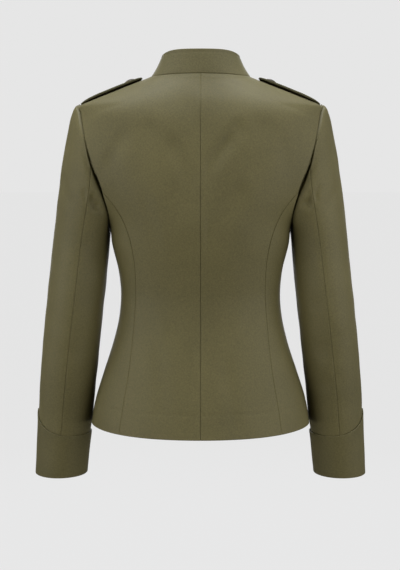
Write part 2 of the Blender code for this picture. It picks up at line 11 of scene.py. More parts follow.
import bpy
import numpy as np
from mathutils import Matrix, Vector


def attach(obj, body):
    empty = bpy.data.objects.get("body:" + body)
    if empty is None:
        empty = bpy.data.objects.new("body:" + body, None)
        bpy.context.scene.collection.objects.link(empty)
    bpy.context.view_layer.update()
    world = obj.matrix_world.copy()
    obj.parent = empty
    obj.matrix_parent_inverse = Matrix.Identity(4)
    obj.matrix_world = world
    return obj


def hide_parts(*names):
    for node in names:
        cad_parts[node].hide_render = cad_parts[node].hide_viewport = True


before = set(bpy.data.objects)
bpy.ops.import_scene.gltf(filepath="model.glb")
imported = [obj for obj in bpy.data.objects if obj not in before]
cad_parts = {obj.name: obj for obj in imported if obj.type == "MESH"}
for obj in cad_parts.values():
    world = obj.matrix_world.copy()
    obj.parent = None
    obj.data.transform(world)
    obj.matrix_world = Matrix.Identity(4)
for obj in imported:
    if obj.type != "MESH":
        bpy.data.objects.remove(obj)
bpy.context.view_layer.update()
SIDES = {"left": 1, "right": -1}


def table(columns, *rows):
    """Rows of numbers whose columns are read by name."""
    kind = namedtuple("Row", columns)
    return tuple(kind(*row) for row in rows)


def folds(*rows):
    """Folds: their two ends (across, height) in millimetres, then spread and depth in tenths of one."""
    units = (1000, 1000, 1000, 1000, 10000, 10000)
    metres = [[value / unit for value, unit in zip(row, units)] for row in rows]
    return table("across height to_across to_height spread depth", *metres)


# Cloth
CLOTH = 0.0016  # what shows of a panel's wall
DOUBLE_CLOTH = 0.0024  # collar and cuffs
LAID_ON = 0.0003
# Of a grid's edge: its row, the row before it, and their axis
EDGE_ROWS = {"bottom": (0, 1, 0), "top": (-1, -2, 0), "left": (0, 1, 1), "right": (-1, -2, 1)}
CURL = 0.97  # how far a turned edge closes
SHARP_CLOTH = radians(62)  # edges with a sharper turn than this aren't smoothed
CROWDING, LIGHT_CROWDING = 0.86, 0.5  # of a grid's rows and columns near its edges
PROBE = 0.0001  # how far from a point the form's slope is read
TINY = 1e-12  # keeps divisions from zero

# Seams
SEAM_DEPTH, SEAM_WIDTH = 0.0014, 0.0007  # of the valley at a sewn edge
SEAM_OVERLAP = 0.00012  # of each panel past a sewn edge, so that no light passes
ALLOWANCE_LIFT, ALLOWANCE_WIDTH = 0.00022, 0.011  # the turned allowance lifts the cloth beside a seam
ALLOWANCE_LEVEL = 0.7  # of its width, before the lift falls away
UNDER_DEPTH, ALLOWANCE_REACH = 0.0032, 0.0035  # of the edge that the collar and sleeves tuck under the panels
SEWN = {"back": ("left", "right", "top"), "side": ("left", "right", "top"), "front": ("right", "top")}
# A valley's share of the depth at the hem, then each change of it with the heights that it runs between
CENTRE_SEAM = (1.0, (-0.5, -0.120, -0.020))
PRINCESS_SEAM = (0.5, (0.3, -0.300, -0.240))
BACK_PRINCESS_SEAM = (*PRINCESS_SEAM, (-0.15, -0.200, -0.180))
SLEEVE_SEAM, ARMHOLE_SEAM, COLLAR_SEAM = 0.75, 0.35, 0.6  # the same all along
# Sewn lines: how far from the edge, how deep and how wide
HEM_LINE = (0.039, 0.00050, 0.0014)
COLLAR_LINE = (0.0050, 0.00045, 0.0009)
STRAP_LINE = (0.0042, 0.0004, 0.0006)

# Unevenness of worn cloth: seed and height for each part
WAVE_COUNT, WAVE_SHORT, WAVE_LONG = 9, 0.035, 0.110
TORSO_WAVES, SLEEVE_WAVES, COLLAR_WAVES = (3, 0.00022), (5, 0.00034), (7, 0.00042)
CUFF_WAVES = {"left": (12, 0.00025), "right": (10, 0.00025)}
# How far beside a sewn edge the unevenness, fine folds and rounding fade in
PANEL_FADE, ROUNDING_FADE, SLEEVE_FADE, CUFF_FADE = 0.012, 0.008, 0.010, 0.010

# Torso
HEM = -0.5734
HEM_SIDE_RISE = 0.004
NECK_HALF_WIDTH = 0.081
NECK_DROP = 0.070
NECK_ARCH = 0.0026  # of the neck seam at the centre back, above its level at the shoulders
LAP = 0.018
LAP_RISE = 0.0028
LAP_RISE_FROM, LAP_RISE_TO = 0.064, 0.030  # distances from the centre
BODY = table(
    "height half_width front back squareness",
    (-0.577, 0.1834, 0.124, 0.117, 2.02),
    (-0.530, 0.1753, 0.120, 0.110, 2.08),
    (-0.480, 0.1600, 0.115, 0.101, 2.18),
    (-0.430, 0.1437, 0.110, 0.092, 2.25),
    (-0.390, 0.1346, 0.107, 0.086, 2.30),
    (-0.355, 0.1315, 0.107, 0.084, 2.30),
    (-0.315, 0.1349, 0.1145, 0.089, 2.30),
    (-0.270, 0.1452, 0.1265, 0.098, 2.32),
    (-0.235, 0.1505, 0.1325, 0.105, 2.35),
    (-0.190, 0.1800, 0.1300, 0.1072, 2.40),
    (-0.140, 0.2040, 0.1150, 0.1042, 2.45),
    (-0.090, 0.2045, 0.0905, 0.0968, 2.40),
    (-0.072, 0.2015, 0.081, 0.0928, 2.37),
    (-0.058, 0.1983, 0.073, 0.0884, 2.33),
    (-0.045, 0.1950, 0.064, 0.0828, 2.30),
    (-0.038, 0.1775, 0.059, 0.0792, 2.29),
    (-0.020, 0.1322, 0.044, 0.0675, 2.25),
    (0.000, 0.0810, 0.026, 0.055, 2.15),
    (0.016, 0.0430, 0.012, 0.046, 2.10),
)
BACK_SEAM = table(
    "height across",
    (-0.577, 0.1315),
    (-0.530, 0.1245),
    (-0.470, 0.1145),
    (-0.400, 0.1073),
    (-0.340, 0.1038),
    (-0.285, 0.1069),
    (-0.245, 0.1165),
    (-0.209, 0.1344),
    (-0.183, 0.1560),
)
FRONT_SEAM = table(
    "height across",
    (-0.577, 0.1285),
    (-0.470, 0.1150),
    (-0.350, 0.1060),
    (-0.285, 0.1120),
    (-0.225, 0.1300),
    (-0.183, 0.1530),
)

# Main folds, the same on both sides as in the solids
BACK_FOLDS = folds(
    (0, -85, 12, -190, 400, 35),
    (152, -100, 128, -215, 240, 20),
    (0, -400, 85, -350, 260, 15),
)
FRONT_FOLDS = folds(
    (150, -110, 125, -175, 240, 25),
    (20, -385, 90, -335, 260, 15),
)
SLEEVE_FOLDS = folds(
    (105, -290, 98, -440, 180, 20),
    (-105, -375, -60, -405, 160, 28),
    (-100, -435, -50, -440, 140, 16),
)
SLEEVE_RADIUS = 0.05

# Fine folds, uneven from side to side: across is +X on the torso, and runs round a sleeve from its outer side
BACK_CREASES = folds(
    (-60, -84, -6, -150, 130, 24),
    (-42, -104, -24, -127, 90, 17),
    (-90, -80, -108, -84, 150, 13),
    (-126, -94, -134, -134, 110, 6),
    (-60, -185, -8, -250, 160, 18),
    (-15, -50, -60, -54, 100, 3),
    (-77, -385, -100, -340, 120, 9),
    (148, -138, 124, -100, 120, 16),
    (118, -92, 82, -84, 150, 7),
    (78, -88, 44, -110, 150, 8),
    (44, -112, 18, -158, 130, 15),
    (147, -128, 143, -136, 80, 8),
    (138, -128, 130, -200, 100, 12),
    (86, -195, 71, -250, 110, 10),
    (62, -52, 10, -48, 100, 3),
    (40, -400, 8, -432, 130, 10),
    (100, -345, 80, -385, 120, 9),
    (60, -520, 66, -440, 150, 10),
    (-52, -535, -40, -455, 150, 10),
)
FRONT_CREASES = folds(
    (-150, -120, -100, -155, 100, 19),
    (-128, -95, -90, -118, 90, 13),
    (-40, -300, -88, -272, 100, 13),
    (-30, -395, -94, -352, 110, 14),
    (148, -115, 108, -160, 110, 18),
    (126, -180, 92, -150, 90, 11),
    (35, -312, 92, -280, 110, 14),
    (34, -372, 98, -340, 100, 13),
    (70, -530, 60, -450, 150, 11),
    (-75, -525, -62, -450, 150, 10),
)
LEFT_SLEEVE_CREASES = folds(
    (93, -194, 104, -206, 95, 46),
    (82, -184, 94, -198, 60, 16),
    (106, -208, 116, -214, 60, 16),
    (30, -165, 58, -200, 100, 13),
    (92, -268, 124, -292, 104, 7),
    (60, -330, 112, -352, 130, 6),
    (40, -402, 104, -422, 143, 6),
    (80, -500, 120, -520, 130, 5),
    (-120, -392, -66, -374, 80, 26),
    (-110, -420, -60, -428, 80, 22),
    (-96, -352, -52, -338, 90, 18),
    (-80, -180, -110, -235, 90, 19),
)
RIGHT_SLEEVE_CREASES = folds(
    (90, -192, 100, -203, 95, 40),
    (78, -178, 88, -190, 60, 14),
    (98, -200, 110, -206, 60, 14),
    (36, -178, 64, -206, 100, 13),
    (86, -282, 120, -300, 104, 6),
    (52, -345, 106, -366, 130, 6),
    (50, -418, 108, -436, 143, 5),
    (72, -492, 116, -506, 130, 5),
    (-118, -382, -64, -396, 80, 26),
    (-104, -430, -56, -420, 80, 19),
    (-100, -344, -56, -356, 90, 19),
    (-76, -170, -112, -226, 90, 21),
)
SLEEVE_CREASES = {"left": LEFT_SLEEVE_CREASES, "right": RIGHT_SLEEVE_CREASES}
RIDGE_SHARE = 0.6  # of a fine fold's depth that stands out beside it
BACK_SLACK = 2.2  # how much wider a fine fold of the back runs out below its line
FOLD_TURN = 0.02  # how far from the side's middle the back's folds give way to the front's

# Rounding of the upper back, where the cloth eases over the turn below the shoulders
EASE_SHARE, EASE_REACH = 0.45, 0.012  # the reach by the height below the ridge, and its most
EASE_SPAN, EASE_STEPS = 2.2, 11  # in reaches to either side
EASE_HEIGHTS = (-0.150, -0.110)  # over which it sets in

# Each piece's flat cut, in metres: the box round it and its area, with the allowances that lie under its
# neighbour
Cut = namedtuple("Cut", "width length area")

# Armhole and sleeve
ARMHOLE_MIDDLE, ARMHOLE_HALF_HEIGHT = -0.140, 0.095
ARMHOLE_BACK, ARMHOLE_FRONT = 37.0, 40.0
ARMHOLE_SKEW = 0.21
PANEL_SEAM_TURN = 117.0
CAP = table(
    "along roll lift tuck swing",
    (0.000, 0.0000, 0.0000, 0.0000, 0.00),
    (0.010, 0.0035, 0.0025, 0.0016, 0.03),
    (0.030, 0.0062, 0.0035, 0.0050, 0.10),
    (0.065, 0.0078, 0.0035, 0.0060, 0.22),
    (0.180, 0.0092, 0.0020, 0.0020, 0.42),
    (0.380, 0.0095, 0.0000, 0.0000, 0.45),
    (0.620, 0.0068, 0.0000, 0.0000, 0.33),
    (0.820, 0.0035, 0.0000, 0.0000, 0.15),
    (1.000, 0.0000, 0.0000, 0.0000, 0.00),
)
ROLL_BACKWARD = 0.35
CAP_CROWDING, TUBE_CROWDING = 1.8, 1.12  # powers that crowd their rows near the armhole and the biceps
BICEPS_SOFT_REACH, BICEPS_SOFT_TIMES, SOFT_STEP = 10, 40, 0.5  # in rows, how often, and how far each time
MOSTLY_LEVEL = (1, 1, 0.3)
TUCK_TURN, TUCK_REACH = 98.0, 34.0
OVERHANG, OVERHANG_REACH = 0.0010, 0.009  # of the back's edge that stands out over the sleeve
OVERHANG_START, OVERHANG_END = (-0.190, -0.178), (-0.100, -0.065)  # heights where it grows and fades
SLIT = table(  # where the back hangs over the sleeve, by the armhole's hand
    "hand width depth",
    (0.0, 0.0006, 0.0000),
    (14.0, 0.0006, 0.0005),
    (30.0, 0.0006, 0.0010),
    (48.0, 0.0007, 0.0016),
    (65.0, 0.0009, 0.0027),
    (77.0, 0.0012, 0.0046),
    (86.0, 0.0022, 0.0076),
    (96.0, 0.0040, 0.0110),
    (106.0, 0.0040, 0.0110),
    (118.0, 0.0028, 0.0100),
    (140.0, 0.0024, 0.0080),
    (165.0, 0.0022, 0.0050),
    (190.0, 0.0020, 0.0000),
    (360.0, 0.0015, 0.0000),
)
SLIT_START = 0.4  # how deep the sleeve already lies at the seam, by the slit's depth
SLIT_FALL = 0.002  # how far from the seam it reaches the full depth
SLIT_RISE, SLIT_RISE_SHARE = 0.0008, 0.45  # over how much the sleeve rises again, plus a share of the depth
SLEEVE = table(
    "height inner outer middle half_depth",
    (-0.664, 0.1962, 0.2800, -0.031, 0.0425),
    (-0.620, 0.1916, 0.2767, -0.026, 0.0440),
    (-0.585, 0.1866, 0.2745, -0.022, 0.0456),
    (-0.565, 0.1830, 0.2736, -0.0195, 0.0466),
    (-0.537, 0.1800, 0.2724, -0.016, 0.0480),
    (-0.468, 0.1718, 0.2659, -0.008, 0.0520),
    (-0.399, 0.1637, 0.2582, -0.001, 0.0560),
    (-0.331, 0.1557, 0.2500, 0.001, 0.0590),
    (-0.2645, 0.1494, 0.2425, -0.003, 0.0610),
)
BICEPS = -0.2645
SLEEVE_END = -0.661
BICEPS_TURN, WRIST_TURN = -2.0, -10.5
BACK_CELLS, UNDER_CELLS = 8, 6
STATIONS = BACK_CELLS * 2 + UNDER_CELLS
BACK_SLEEVE_SEAM, FRONT_SLEEVE_SEAM = 6, 15

# Panels
SEAM_ROWS = 14
BACK_NECK_CELLS, FRONT_NECK_CELLS, SHOULDER_CELLS = 4, 5, 4
CENTRE_BACK_LEVEL, CENTRE_FRONT_LEVEL = -0.165, -0.215
DENSE = 24  # points read between two stations of an edge
PANEL_COLUMNS, PANEL_ROWS, SIDE_COLUMNS = 78, 150, 60
SLEEVE_COLUMNS, CAP_ROWS, TUBE_ROWS = 72, 46, 92

# Collar
COLLAR_HEIGHT, COLLAR_FALL = 0.0411, 0.0062
COLLAR_ROUND = 6.0  # how late its top edge falls away towards the sides
COLLAR_TOP_SIDE, COLLAR_TOP_BACK, COLLAR_TOP_FRONT = 0.775, 0.93, 0.80  # its top by the neck seam's size
COLLAR_FLARE = 0.35  # how much more of the lean lies low down
COLLAR_OPENING = 0.003
COLLAR_COLUMNS, COLLAR_ROWS = 220, 26

# Cuff
CUFF_BOTTOM, CUFF_TOP = -0.664, -0.5895
CUFF_PEAK_RISE, CUFF_PEAK_TURN, CUFF_PEAK_REACH, CUFF_PEAK_POWER = 0.038, -4.0, 115.0, 1.8
CUFF_SEAM_STATION = -6
CUFF_COLUMNS, CUFF_ROWS = 150, 44

# Epaulette
STRAP = table(
    "across half_width stand_off crown thickness",
    (0.0945, 0.0040, 0.0016, 0.0000, 0.0040),
    (0.0985, 0.0110, 0.0014, 0.0001, 0.0046),
    (0.1045, 0.0172, 0.0012, 0.0002, 0.0050),
    (0.1120, 0.0197, 0.0010, 0.0003, 0.0053),
    (0.1300, 0.0203, 0.0010, 0.0004, 0.0056),
    (0.1500, 0.0212, 0.0010, 0.0006, 0.0056),
    (0.1700, 0.0222, 0.0010, 0.0012, 0.0056),
    (0.1840, 0.0230, 0.0008, 0.0020, 0.0046),
    (0.1920, 0.0235, 0.0006, 0.0030, 0.0028),
)
STRAP_MIDDLE = -0.002
STRAP_INLAY_TOP, STRAP_INLAY_BASE = 0.70, 0.36  # faces of the cloth between the cords, by the thickness
# The black sheet under each strap is painted shadow: its top by the thickness, its inset, and the drop of its
# sides
STRAP_SHADOW_SHEET_TOP, STRAP_SHADOW_SHEET_INSET, STRAP_SHADOW_SHEET_DROP = 0.34, 0.0003, 0.0016
STRAP_SHADOW_SHEET_LEVEL = (0.160, 0.182)  # where its turned-down sides rise to meet the armhole
STRAP_COLUMNS, STRAP_ROWS, STRAP_CROWDING = 40, 70, 0.8
STRAP_TIP_CLEAR = 0.002  # from the solid's tip to the cloth's
STRAP_PILLOW, STRAP_PILLOW_REACH = 0.0006, 0.006  # its cloth sinks towards the cord
STRAP_INSIDE = (0.145, 0)  # a point inside its outline
STRAP_OUTLINE_POINTS, STRAP_TIP_POINTS = 200, 21
CORD_SHARE, CORD_MIDDLE = 0.40, 0.62  # radius and height of the edge cord by the strap's thickness
CORD_PITCH, CORD_STRANDS, CORD_POINTS, CORD_SMOOTHING = 0.0100, 3, 520, 60
STRAND_SHARE, STRAND_SIDES = 0.50, 10  # radius by the cord's
TUBE_UP = (0.31, 0.17, 0.93)  # in line with none of the paths
SHOULDER_SLOPE = atan2(0.045, 0.114)  # from the neck seam out to the armhole
RIDGE_STEPS = 60

# Buttons
STRAP_BUTTON_RADIUS, STRAP_BUTTON_HEIGHT, STRAP_BUTTON_ACROSS = 0.0085, 0.0050, 0.1145
FRONT_BUTTON_RADIUS, FRONT_BUTTON_HEIGHT = 0.0100, 0.0042
FRONT_BUTTONS = table(
    "height thread",
    (-0.095, 0.0005),
    (-0.175, 0.0003),
    (-0.255, 0.0003),
    (-0.335, 0.0008),
    (-0.415, 0.0008),
    (-0.495, 0.0006),
)
BUTTON_SIDES = 48
NEARLY_ALONG_Y = 0.9  # a facing with more than this share of y takes its frame from +Z
SHARP_HORN = radians(50)
BUTTON_PROFILE = table(
    "across up",
    (0.000, 1.000),
    (0.200, 0.985),
    (0.400, 0.935),
    (0.550, 0.865),
    (0.660, 0.780),
    (0.720, 0.700),
    (0.755, 0.655),
    (0.790, 0.665),
    (0.840, 0.680),
    (0.900, 0.655),
    (0.955, 0.560),
    (0.990, 0.420),
    (1.000, 0.300),
    (0.985, 0.160),
    (0.940, 0.050),
    (0.860, 0.000),
    (0.000, 0.000),
)
BUTTONHOLE_LENGTH, BUTTONHOLE_WIDTH = 0.0240, 0.0032
BUTTONHOLE_PAST = 0.0035  # how far its outer end lies past the button's middle
BUTTONHOLE_POINTS, BUTTONHOLE_POWER = 90, 0.35  # a power below 1 makes its ends squarer
THREAD_RADIUS, THREAD_SIDES, THREAD_LIFT = 0.00055, 6, 0.0001
STITCH_HEIGHT, STITCHES = 0.00012, 40

# Camera, read from the photograph's perspective
CAMERA_AT = (0.0, 1.80, -0.148)
PICTURE_HEIGHT, FOCAL_LENGTH, HORIZON = 570, 1092.5, 116  # in pixels; the horizon lies above the middle
CAMERA_DROP = atan(HORIZON / FOCAL_LENGTH)
SENSOR = 36.0
LENS = SENSOR * FOCAL_LENGTH / PICTURE_HEIGHT
CAMERA_SHIFT = -0.5 / PICTURE_HEIGHT  # half a pixel
VIEW_REACH = 200


def ease(keys, values, at):
    """Values on a smooth curve through keyed values."""
    slopes = np.gradient(values, keys)
    at = np.clip(at, keys[0], keys[-1])
    low = np.clip(np.searchsorted(keys, at) - 1, 0, len(keys) - 2)
    span = keys[low + 1] - keys[low]
    part = (at - keys[low]) / span
    start = values[low] * (1 + 2 * part) + span * slopes[low] * part
    end = values[low + 1] * (3 - 2 * part) - span * slopes[low + 1] * (1 - part)
    return start * (1 - part) ** 2 + end * part**2


def smooth(rows, column, at):
    """A table's column at the given places, on a smooth curve through its rows."""
    keys = np.array([row[0] for row in rows])
    return ease(keys, np.array([getattr(row, column) for row in rows]), at)


def unit(vectors):
    """The vectors, each scaled to a length of one."""
    return vectors / np.linalg.norm(vectors, axis=-1, keepdims=True).clip(TINY)


def square_to(along, up):
    """Two unit vectors square to a path and to each other, the first square to up as well."""
    first = unit(np.cross(along, up))
    return first, np.cross(along, first)


def run_along(path):
    """The length from the start of a path to each of its points."""
    return np.insert(np.cumsum(np.linalg.norm(np.diff(path, axis=0), axis=-1)), 0, 0)


def on_side(points, side):
    """Points of the left side as they are, or mirrored to the right one."""
    return points * (side, 1, 1)


def from_line(points, line):
    """Directions from the middle line of a sleeve to its points, mostly level."""
    return (points - line) * MOSTLY_LEVEL


def step_up(at, start, end):
    """A smooth rise from 0 to 1 between two places."""
    part = np.clip((at - start) / (end - start), 0, 1)
    return part * part * (3 - 2 * part)


def changed(height, value, *changes):
    """A value at the hem after its changes up to a height, each given as (amount, from, to)."""
    for amount, start, end in changes:
        value = value + amount * step_up(height, start, end)
    return value


def valley(away, at, depth, width):
    """A soft valley along a line at a distance from an edge."""
    return depth * np.exp(-(((away - at) / width) ** 2))


def from_fold(fold, across, height, slack=1.0):
    """The squared distance from a fold's line, by its spread, which slack widens below the line."""
    run = np.array([fold.to_across - fold.across, fold.to_height - fold.height])
    part = (across - fold.across) * run[0] + (height - fold.height) * run[1]
    part = np.clip(part / (run @ run), 0, 1)
    aside, above = across - fold.across - part * run[0], height - fold.height - part * run[1]
    distance = aside**2 + above**2
    below = np.clip(-above, 0, None) ** 2 / np.maximum(distance, TINY)
    return distance / (fold.spread * (1 + (slack - 1) * below)) ** 2


def trough(folds, across, height):
    """How deep the main folds are at these places."""
    return sum(fold.depth * np.exp(-from_fold(fold, across, height)) for fold in folds)


def crease(folds, across, height, slack=1.0):
    """How deep the fine folds are at these places, less the soft ridges beside them."""
    depth = 0 * (across + height)
    for fold in folds:
        off = from_fold(fold, across, height, slack)
        depth = depth + fold.depth * (1 - RIDGE_SHARE * off) * np.exp(-off)
    return depth


def body_depth(height, backward):
    """Half the torso's depth at a height, backward or forward."""
    return np.where(backward, smooth(BODY, "back", height), smooth(BODY, "front", height))


def body_at_angle(height, angle):
    """Points of the torso at these heights, angle degrees round from the left side towards the back."""
    turn = np.radians(angle)
    power = 2 / smooth(BODY, "squareness", height)
    x = smooth(BODY, "half_width", height) * np.sign(np.cos(turn)) * np.abs(np.cos(turn)) ** power
    y = body_depth(height, turn > 0) * np.sign(np.sin(turn)) * np.abs(np.sin(turn)) ** power
    y = y - np.sin(turn).clip(0) * trough(BACK_FOLDS, np.abs(x), height)
    y = y + np.sin(-turn).clip(0) * trough(FRONT_FOLDS, np.abs(x), height)
    return np.stack([x, y, height + 0 * x], axis=-1)


def body_angle(height, across):
    """The angle of body_at_angle, without its sign, at a distance from the centre plane."""
    part = np.abs(across) / smooth(BODY, "half_width", height)
    cosine = np.minimum(part, 1) ** (smooth(BODY, "squareness", height) / 2)
    return np.degrees(np.arccos(np.sign(across) * cosine))


def body_level(points):
    """1 on the torso's surface, less inside it and more outside."""
    x, y, height = np.moveaxis(points, -1, 0)
    squareness = smooth(BODY, "squareness", height)
    width_part = np.abs(x) / smooth(BODY, "half_width", height)
    depth_part = np.abs(y) / body_depth(height, y > 0)
    return width_part**squareness + depth_part**squareness


def body_normal(points):
    """Unit normals of the torso's form, outward."""
    steps = np.eye(3) * PROBE
    slope = [body_level(points + step) - body_level(points - step) for step in steps]
    return unit(np.stack(slope, axis=-1))


def armhole(turn):
    """(height, angle) of the armhole at a turn of its hand, from the shoulder by way of the back."""
    sine, cosine = np.sin(np.radians(turn)), np.cos(np.radians(turn))
    reach = np.where(sine > 0, ARMHOLE_BACK, ARMHOLE_FRONT)
    return ARMHOLE_MIDDLE + ARMHOLE_HALF_HEIGHT * cosine, reach * sine * (1 - ARMHOLE_SKEW * cosine)


def armhole_turns():
    """The turn of the armhole's hand at each station."""
    back = np.linspace(0, PANEL_SEAM_TURN, BACK_CELLS + 1)
    under = np.linspace(PANEL_SEAM_TURN, 360 - PANEL_SEAM_TURN, UNDER_CELLS + 1)
    return np.concatenate([back, under[1:], 360 - back[-2::-1]])


def read(row, at):
    """Points at shares of a row's length in stations."""
    whole = np.linspace(0, 1, len(row))
    return np.stack([np.interp(at, whole, column) for column in row.T], axis=-1)


def crowded(count, crowding=CROWDING):
    """Shares from 0 to 1, close together near both ends."""
    even = np.linspace(0, 1, count + 1)
    return even - crowding * np.sin(2 * pi * even) / (2 * pi)


def patch(bottom, top, left, right, columns, rows):
    """A grid of points between four edges: rows from bottom to top, columns from left to right."""
    u, v = crowded(columns), crowded(rows)
    bottom, top, left, right = read(bottom, u), read(top, u), read(left, v), read(right, v)
    u, v = u[None, :, None], v[:, None, None]
    across = (1 - v) * bottom[None] + v * top[None]
    upward = (1 - u) * left[:, None] + u * right[:, None]
    corners = (1 - v) * ((1 - u) * bottom[0] + u * bottom[-1]) + v * ((1 - u) * top[0] + u * top[-1])
    return across + upward - corners


def hem_height(across):
    """The hem's height, which rises a little at the sides."""
    return HEM + HEM_SIDE_RISE * (np.abs(across) / BODY[0].half_width) ** 4


def seam_rows(seam):
    """(across, height) along a panel seam, from the hem up to the armhole."""
    top = armhole(PANEL_SEAM_TURN)[0]
    heights = np.linspace(hem_height(seam[0].across), top, SEAM_ROWS * DENSE + 1)
    return np.stack([smooth(seam, "across", heights), heights], axis=-1)


def shoulder_row():
    """(across, height) along the shoulder seam, from the neck to the armhole."""
    height = np.linspace(0, armhole(0.0)[0], SHOULDER_CELLS * DENSE + 1)
    return np.stack([smooth(BODY, "half_width", height), height], axis=-1)


def back_neck_row():
    """(across, height) along the neck seam, from the centre back to the shoulder."""
    turn = np.linspace(90, 0, BACK_NECK_CELLS * DENSE + 1)
    height = NECK_ARCH * np.sin(np.radians(turn)) ** 2
    return np.stack([body_at_angle(height, turn)[:, 0], height], axis=-1)


def front_neck_row(start, end):
    """(across, height) along the front's neck seam between two turns: 0 at the shoulder, pi / 2 in front."""
    turn = np.linspace(start, end, FRONT_NECK_CELLS * DENSE + 1)
    return np.stack([NECK_HALF_WIDTH * np.cos(turn), -NECK_DROP * np.sin(turn) ** 2], axis=-1)


def armhole_row(seam_side):
    """(across, height) up the armhole, from a panel seam to the shoulder."""
    turn = np.linspace(PANEL_SEAM_TURN, 0, BACK_CELLS * DENSE + 1)
    height, angle = armhole(turn if seam_side > 0 else 360 - turn)
    return np.stack([body_at_angle(height, angle)[:, 0], height], axis=-1)


def centre_rows(across, level, top):
    """(across, height) up the centre: even rows to a level, then closer and closer ones to the top."""
    lower = np.linspace(HEM, level, SEAM_ROWS * DENSE + 1)
    upper = top + (level - top) * (1 - np.cos(np.linspace(pi / 2, 0, BACK_CELLS * DENSE + 1)))
    heights = np.append(lower, upper[1:])
    return np.stack([np.full(len(heights), across), heights], axis=-1)


def body_panel(seam, seam_side, edge_across, level, neck):
    """Points of a left back (seam_side 1) or front (-1)."""
    top = np.concatenate([neck, shoulder_row()[1:]])
    right = np.concatenate([seam_rows(seam)[:-1], armhole_row(seam_side)])
    left = centre_rows(edge_across, level, neck[0, 1])
    hem_ends = body_angle(HEM, np.array([edge_across, right[0, 0]]))
    hem_across = body_at_angle(HEM, np.linspace(*hem_ends, len(top)))[:, 0]
    bottom = np.stack([hem_across, hem_height(hem_across)], axis=-1)
    bottom[[0, -1]] = left[0], right[0]
    grid = patch(bottom, top, left, right, PANEL_COLUMNS, PANEL_ROWS)
    across, height = np.moveaxis(grid, -1, 0)
    return body_at_angle(height, body_angle(height, across) * seam_side)


def back_points():
    return body_panel(BACK_SEAM, 1, 0.0, CENTRE_BACK_LEVEL, back_neck_row())


def front_points(rises):
    """Points of the left front, or of the mirrored right one, which rises over the other at the centre."""
    neck = front_neck_row(pi / 2 + asin(LAP / NECK_HALF_WIDTH), 0)
    points = body_panel(FRONT_SEAM, -1, -LAP, CENTRE_FRONT_LEVEL, neck)
    if not rises:
        return points
    part = step_up(-points[..., :1], -LAP_RISE_FROM, -LAP_RISE_TO)
    return points + body_normal(points) * LAP_RISE * part


def side_points():
    """Points of the left side body, from the back seam round to the front seam."""
    back, front = seam_rows(BACK_SEAM), seam_rows(FRONT_SEAM)
    left = np.stack([body_angle(back[:, 1], back[:, 0]), back[:, 1]], axis=-1)
    right = np.stack([-body_angle(front[:, 1], front[:, 0]), front[:, 1]], axis=-1)
    height, angle = armhole(np.linspace(PANEL_SEAM_TURN, 360 - PANEL_SEAM_TURN, UNDER_CELLS * DENSE + 1))
    top = np.stack([angle, height], axis=-1)
    left[-1], right[-1] = top[0], top[-1]
    hem_angles = np.linspace(left[0, 0], right[0, 0], UNDER_CELLS * DENSE + 1)
    bottom = np.stack([hem_angles, hem_height(body_at_angle(HEM, hem_angles)[:, 0])], axis=-1)
    bottom[[0, -1]] = left[0], right[0]
    angle, height = np.moveaxis(patch(bottom, top, left, right, SIDE_COLUMNS, PANEL_ROWS), -1, 0)
    return body_at_angle(height, angle)


def sleeve_ring(height, turn):
    """Points round the sleeve: turn 0 is its outer side, 90 its back and 180 the side next to the body."""
    inner, outer = smooth(SLEEVE, "inner", height), smooth(SLEEVE, "outer", height)
    turn = (turn + 180) % 360 - 180
    hollow = trough(SLEEVE_FOLDS, np.radians(turn) * SLEEVE_RADIUS, height)
    turn = np.radians(turn)
    x = (inner + outer) / 2 + ((outer - inner) / 2 - hollow) * np.cos(turn)
    y = smooth(SLEEVE, "middle", height) + (smooth(SLEEVE, "half_depth", height) - hollow) * np.sin(turn)
    return np.stack([x, y, height + 0 * x], axis=-1)


def sleeve_turn(height, station):
    """The turn of sleeve_ring at a station round the sleeve. The seams swing forward towards the wrist."""
    down = (BICEPS - height) / (BICEPS - SLEEVE_END)
    return BICEPS_TURN + (WRIST_TURN - BICEPS_TURN) * down + station * 360 / STATIONS


def armhole_hand(station):
    """The turn of the armhole's hand at a station, also past either end of its loop."""
    turns = armhole_turns()[:-1]
    hands = np.concatenate([turns - 360, turns, turns + 360, [720]])
    return ease(np.arange(-STATIONS, 2 * STATIONS + 1), hands, station)


def slit(hand, run):
    """How deep the sleeve lies under the back's overhanging edge, at a distance from the armhole."""
    width = smooth(SLIT, "width", hand)
    depth = smooth(SLIT, "depth", hand).clip(0)
    down = SLIT_START + (1 - SLIT_START) * step_up(run, 0, SLIT_FALL)
    return depth * down * (1 - step_up(run, width, width + SLIT_RISE + SLIT_RISE_SHARE * depth))


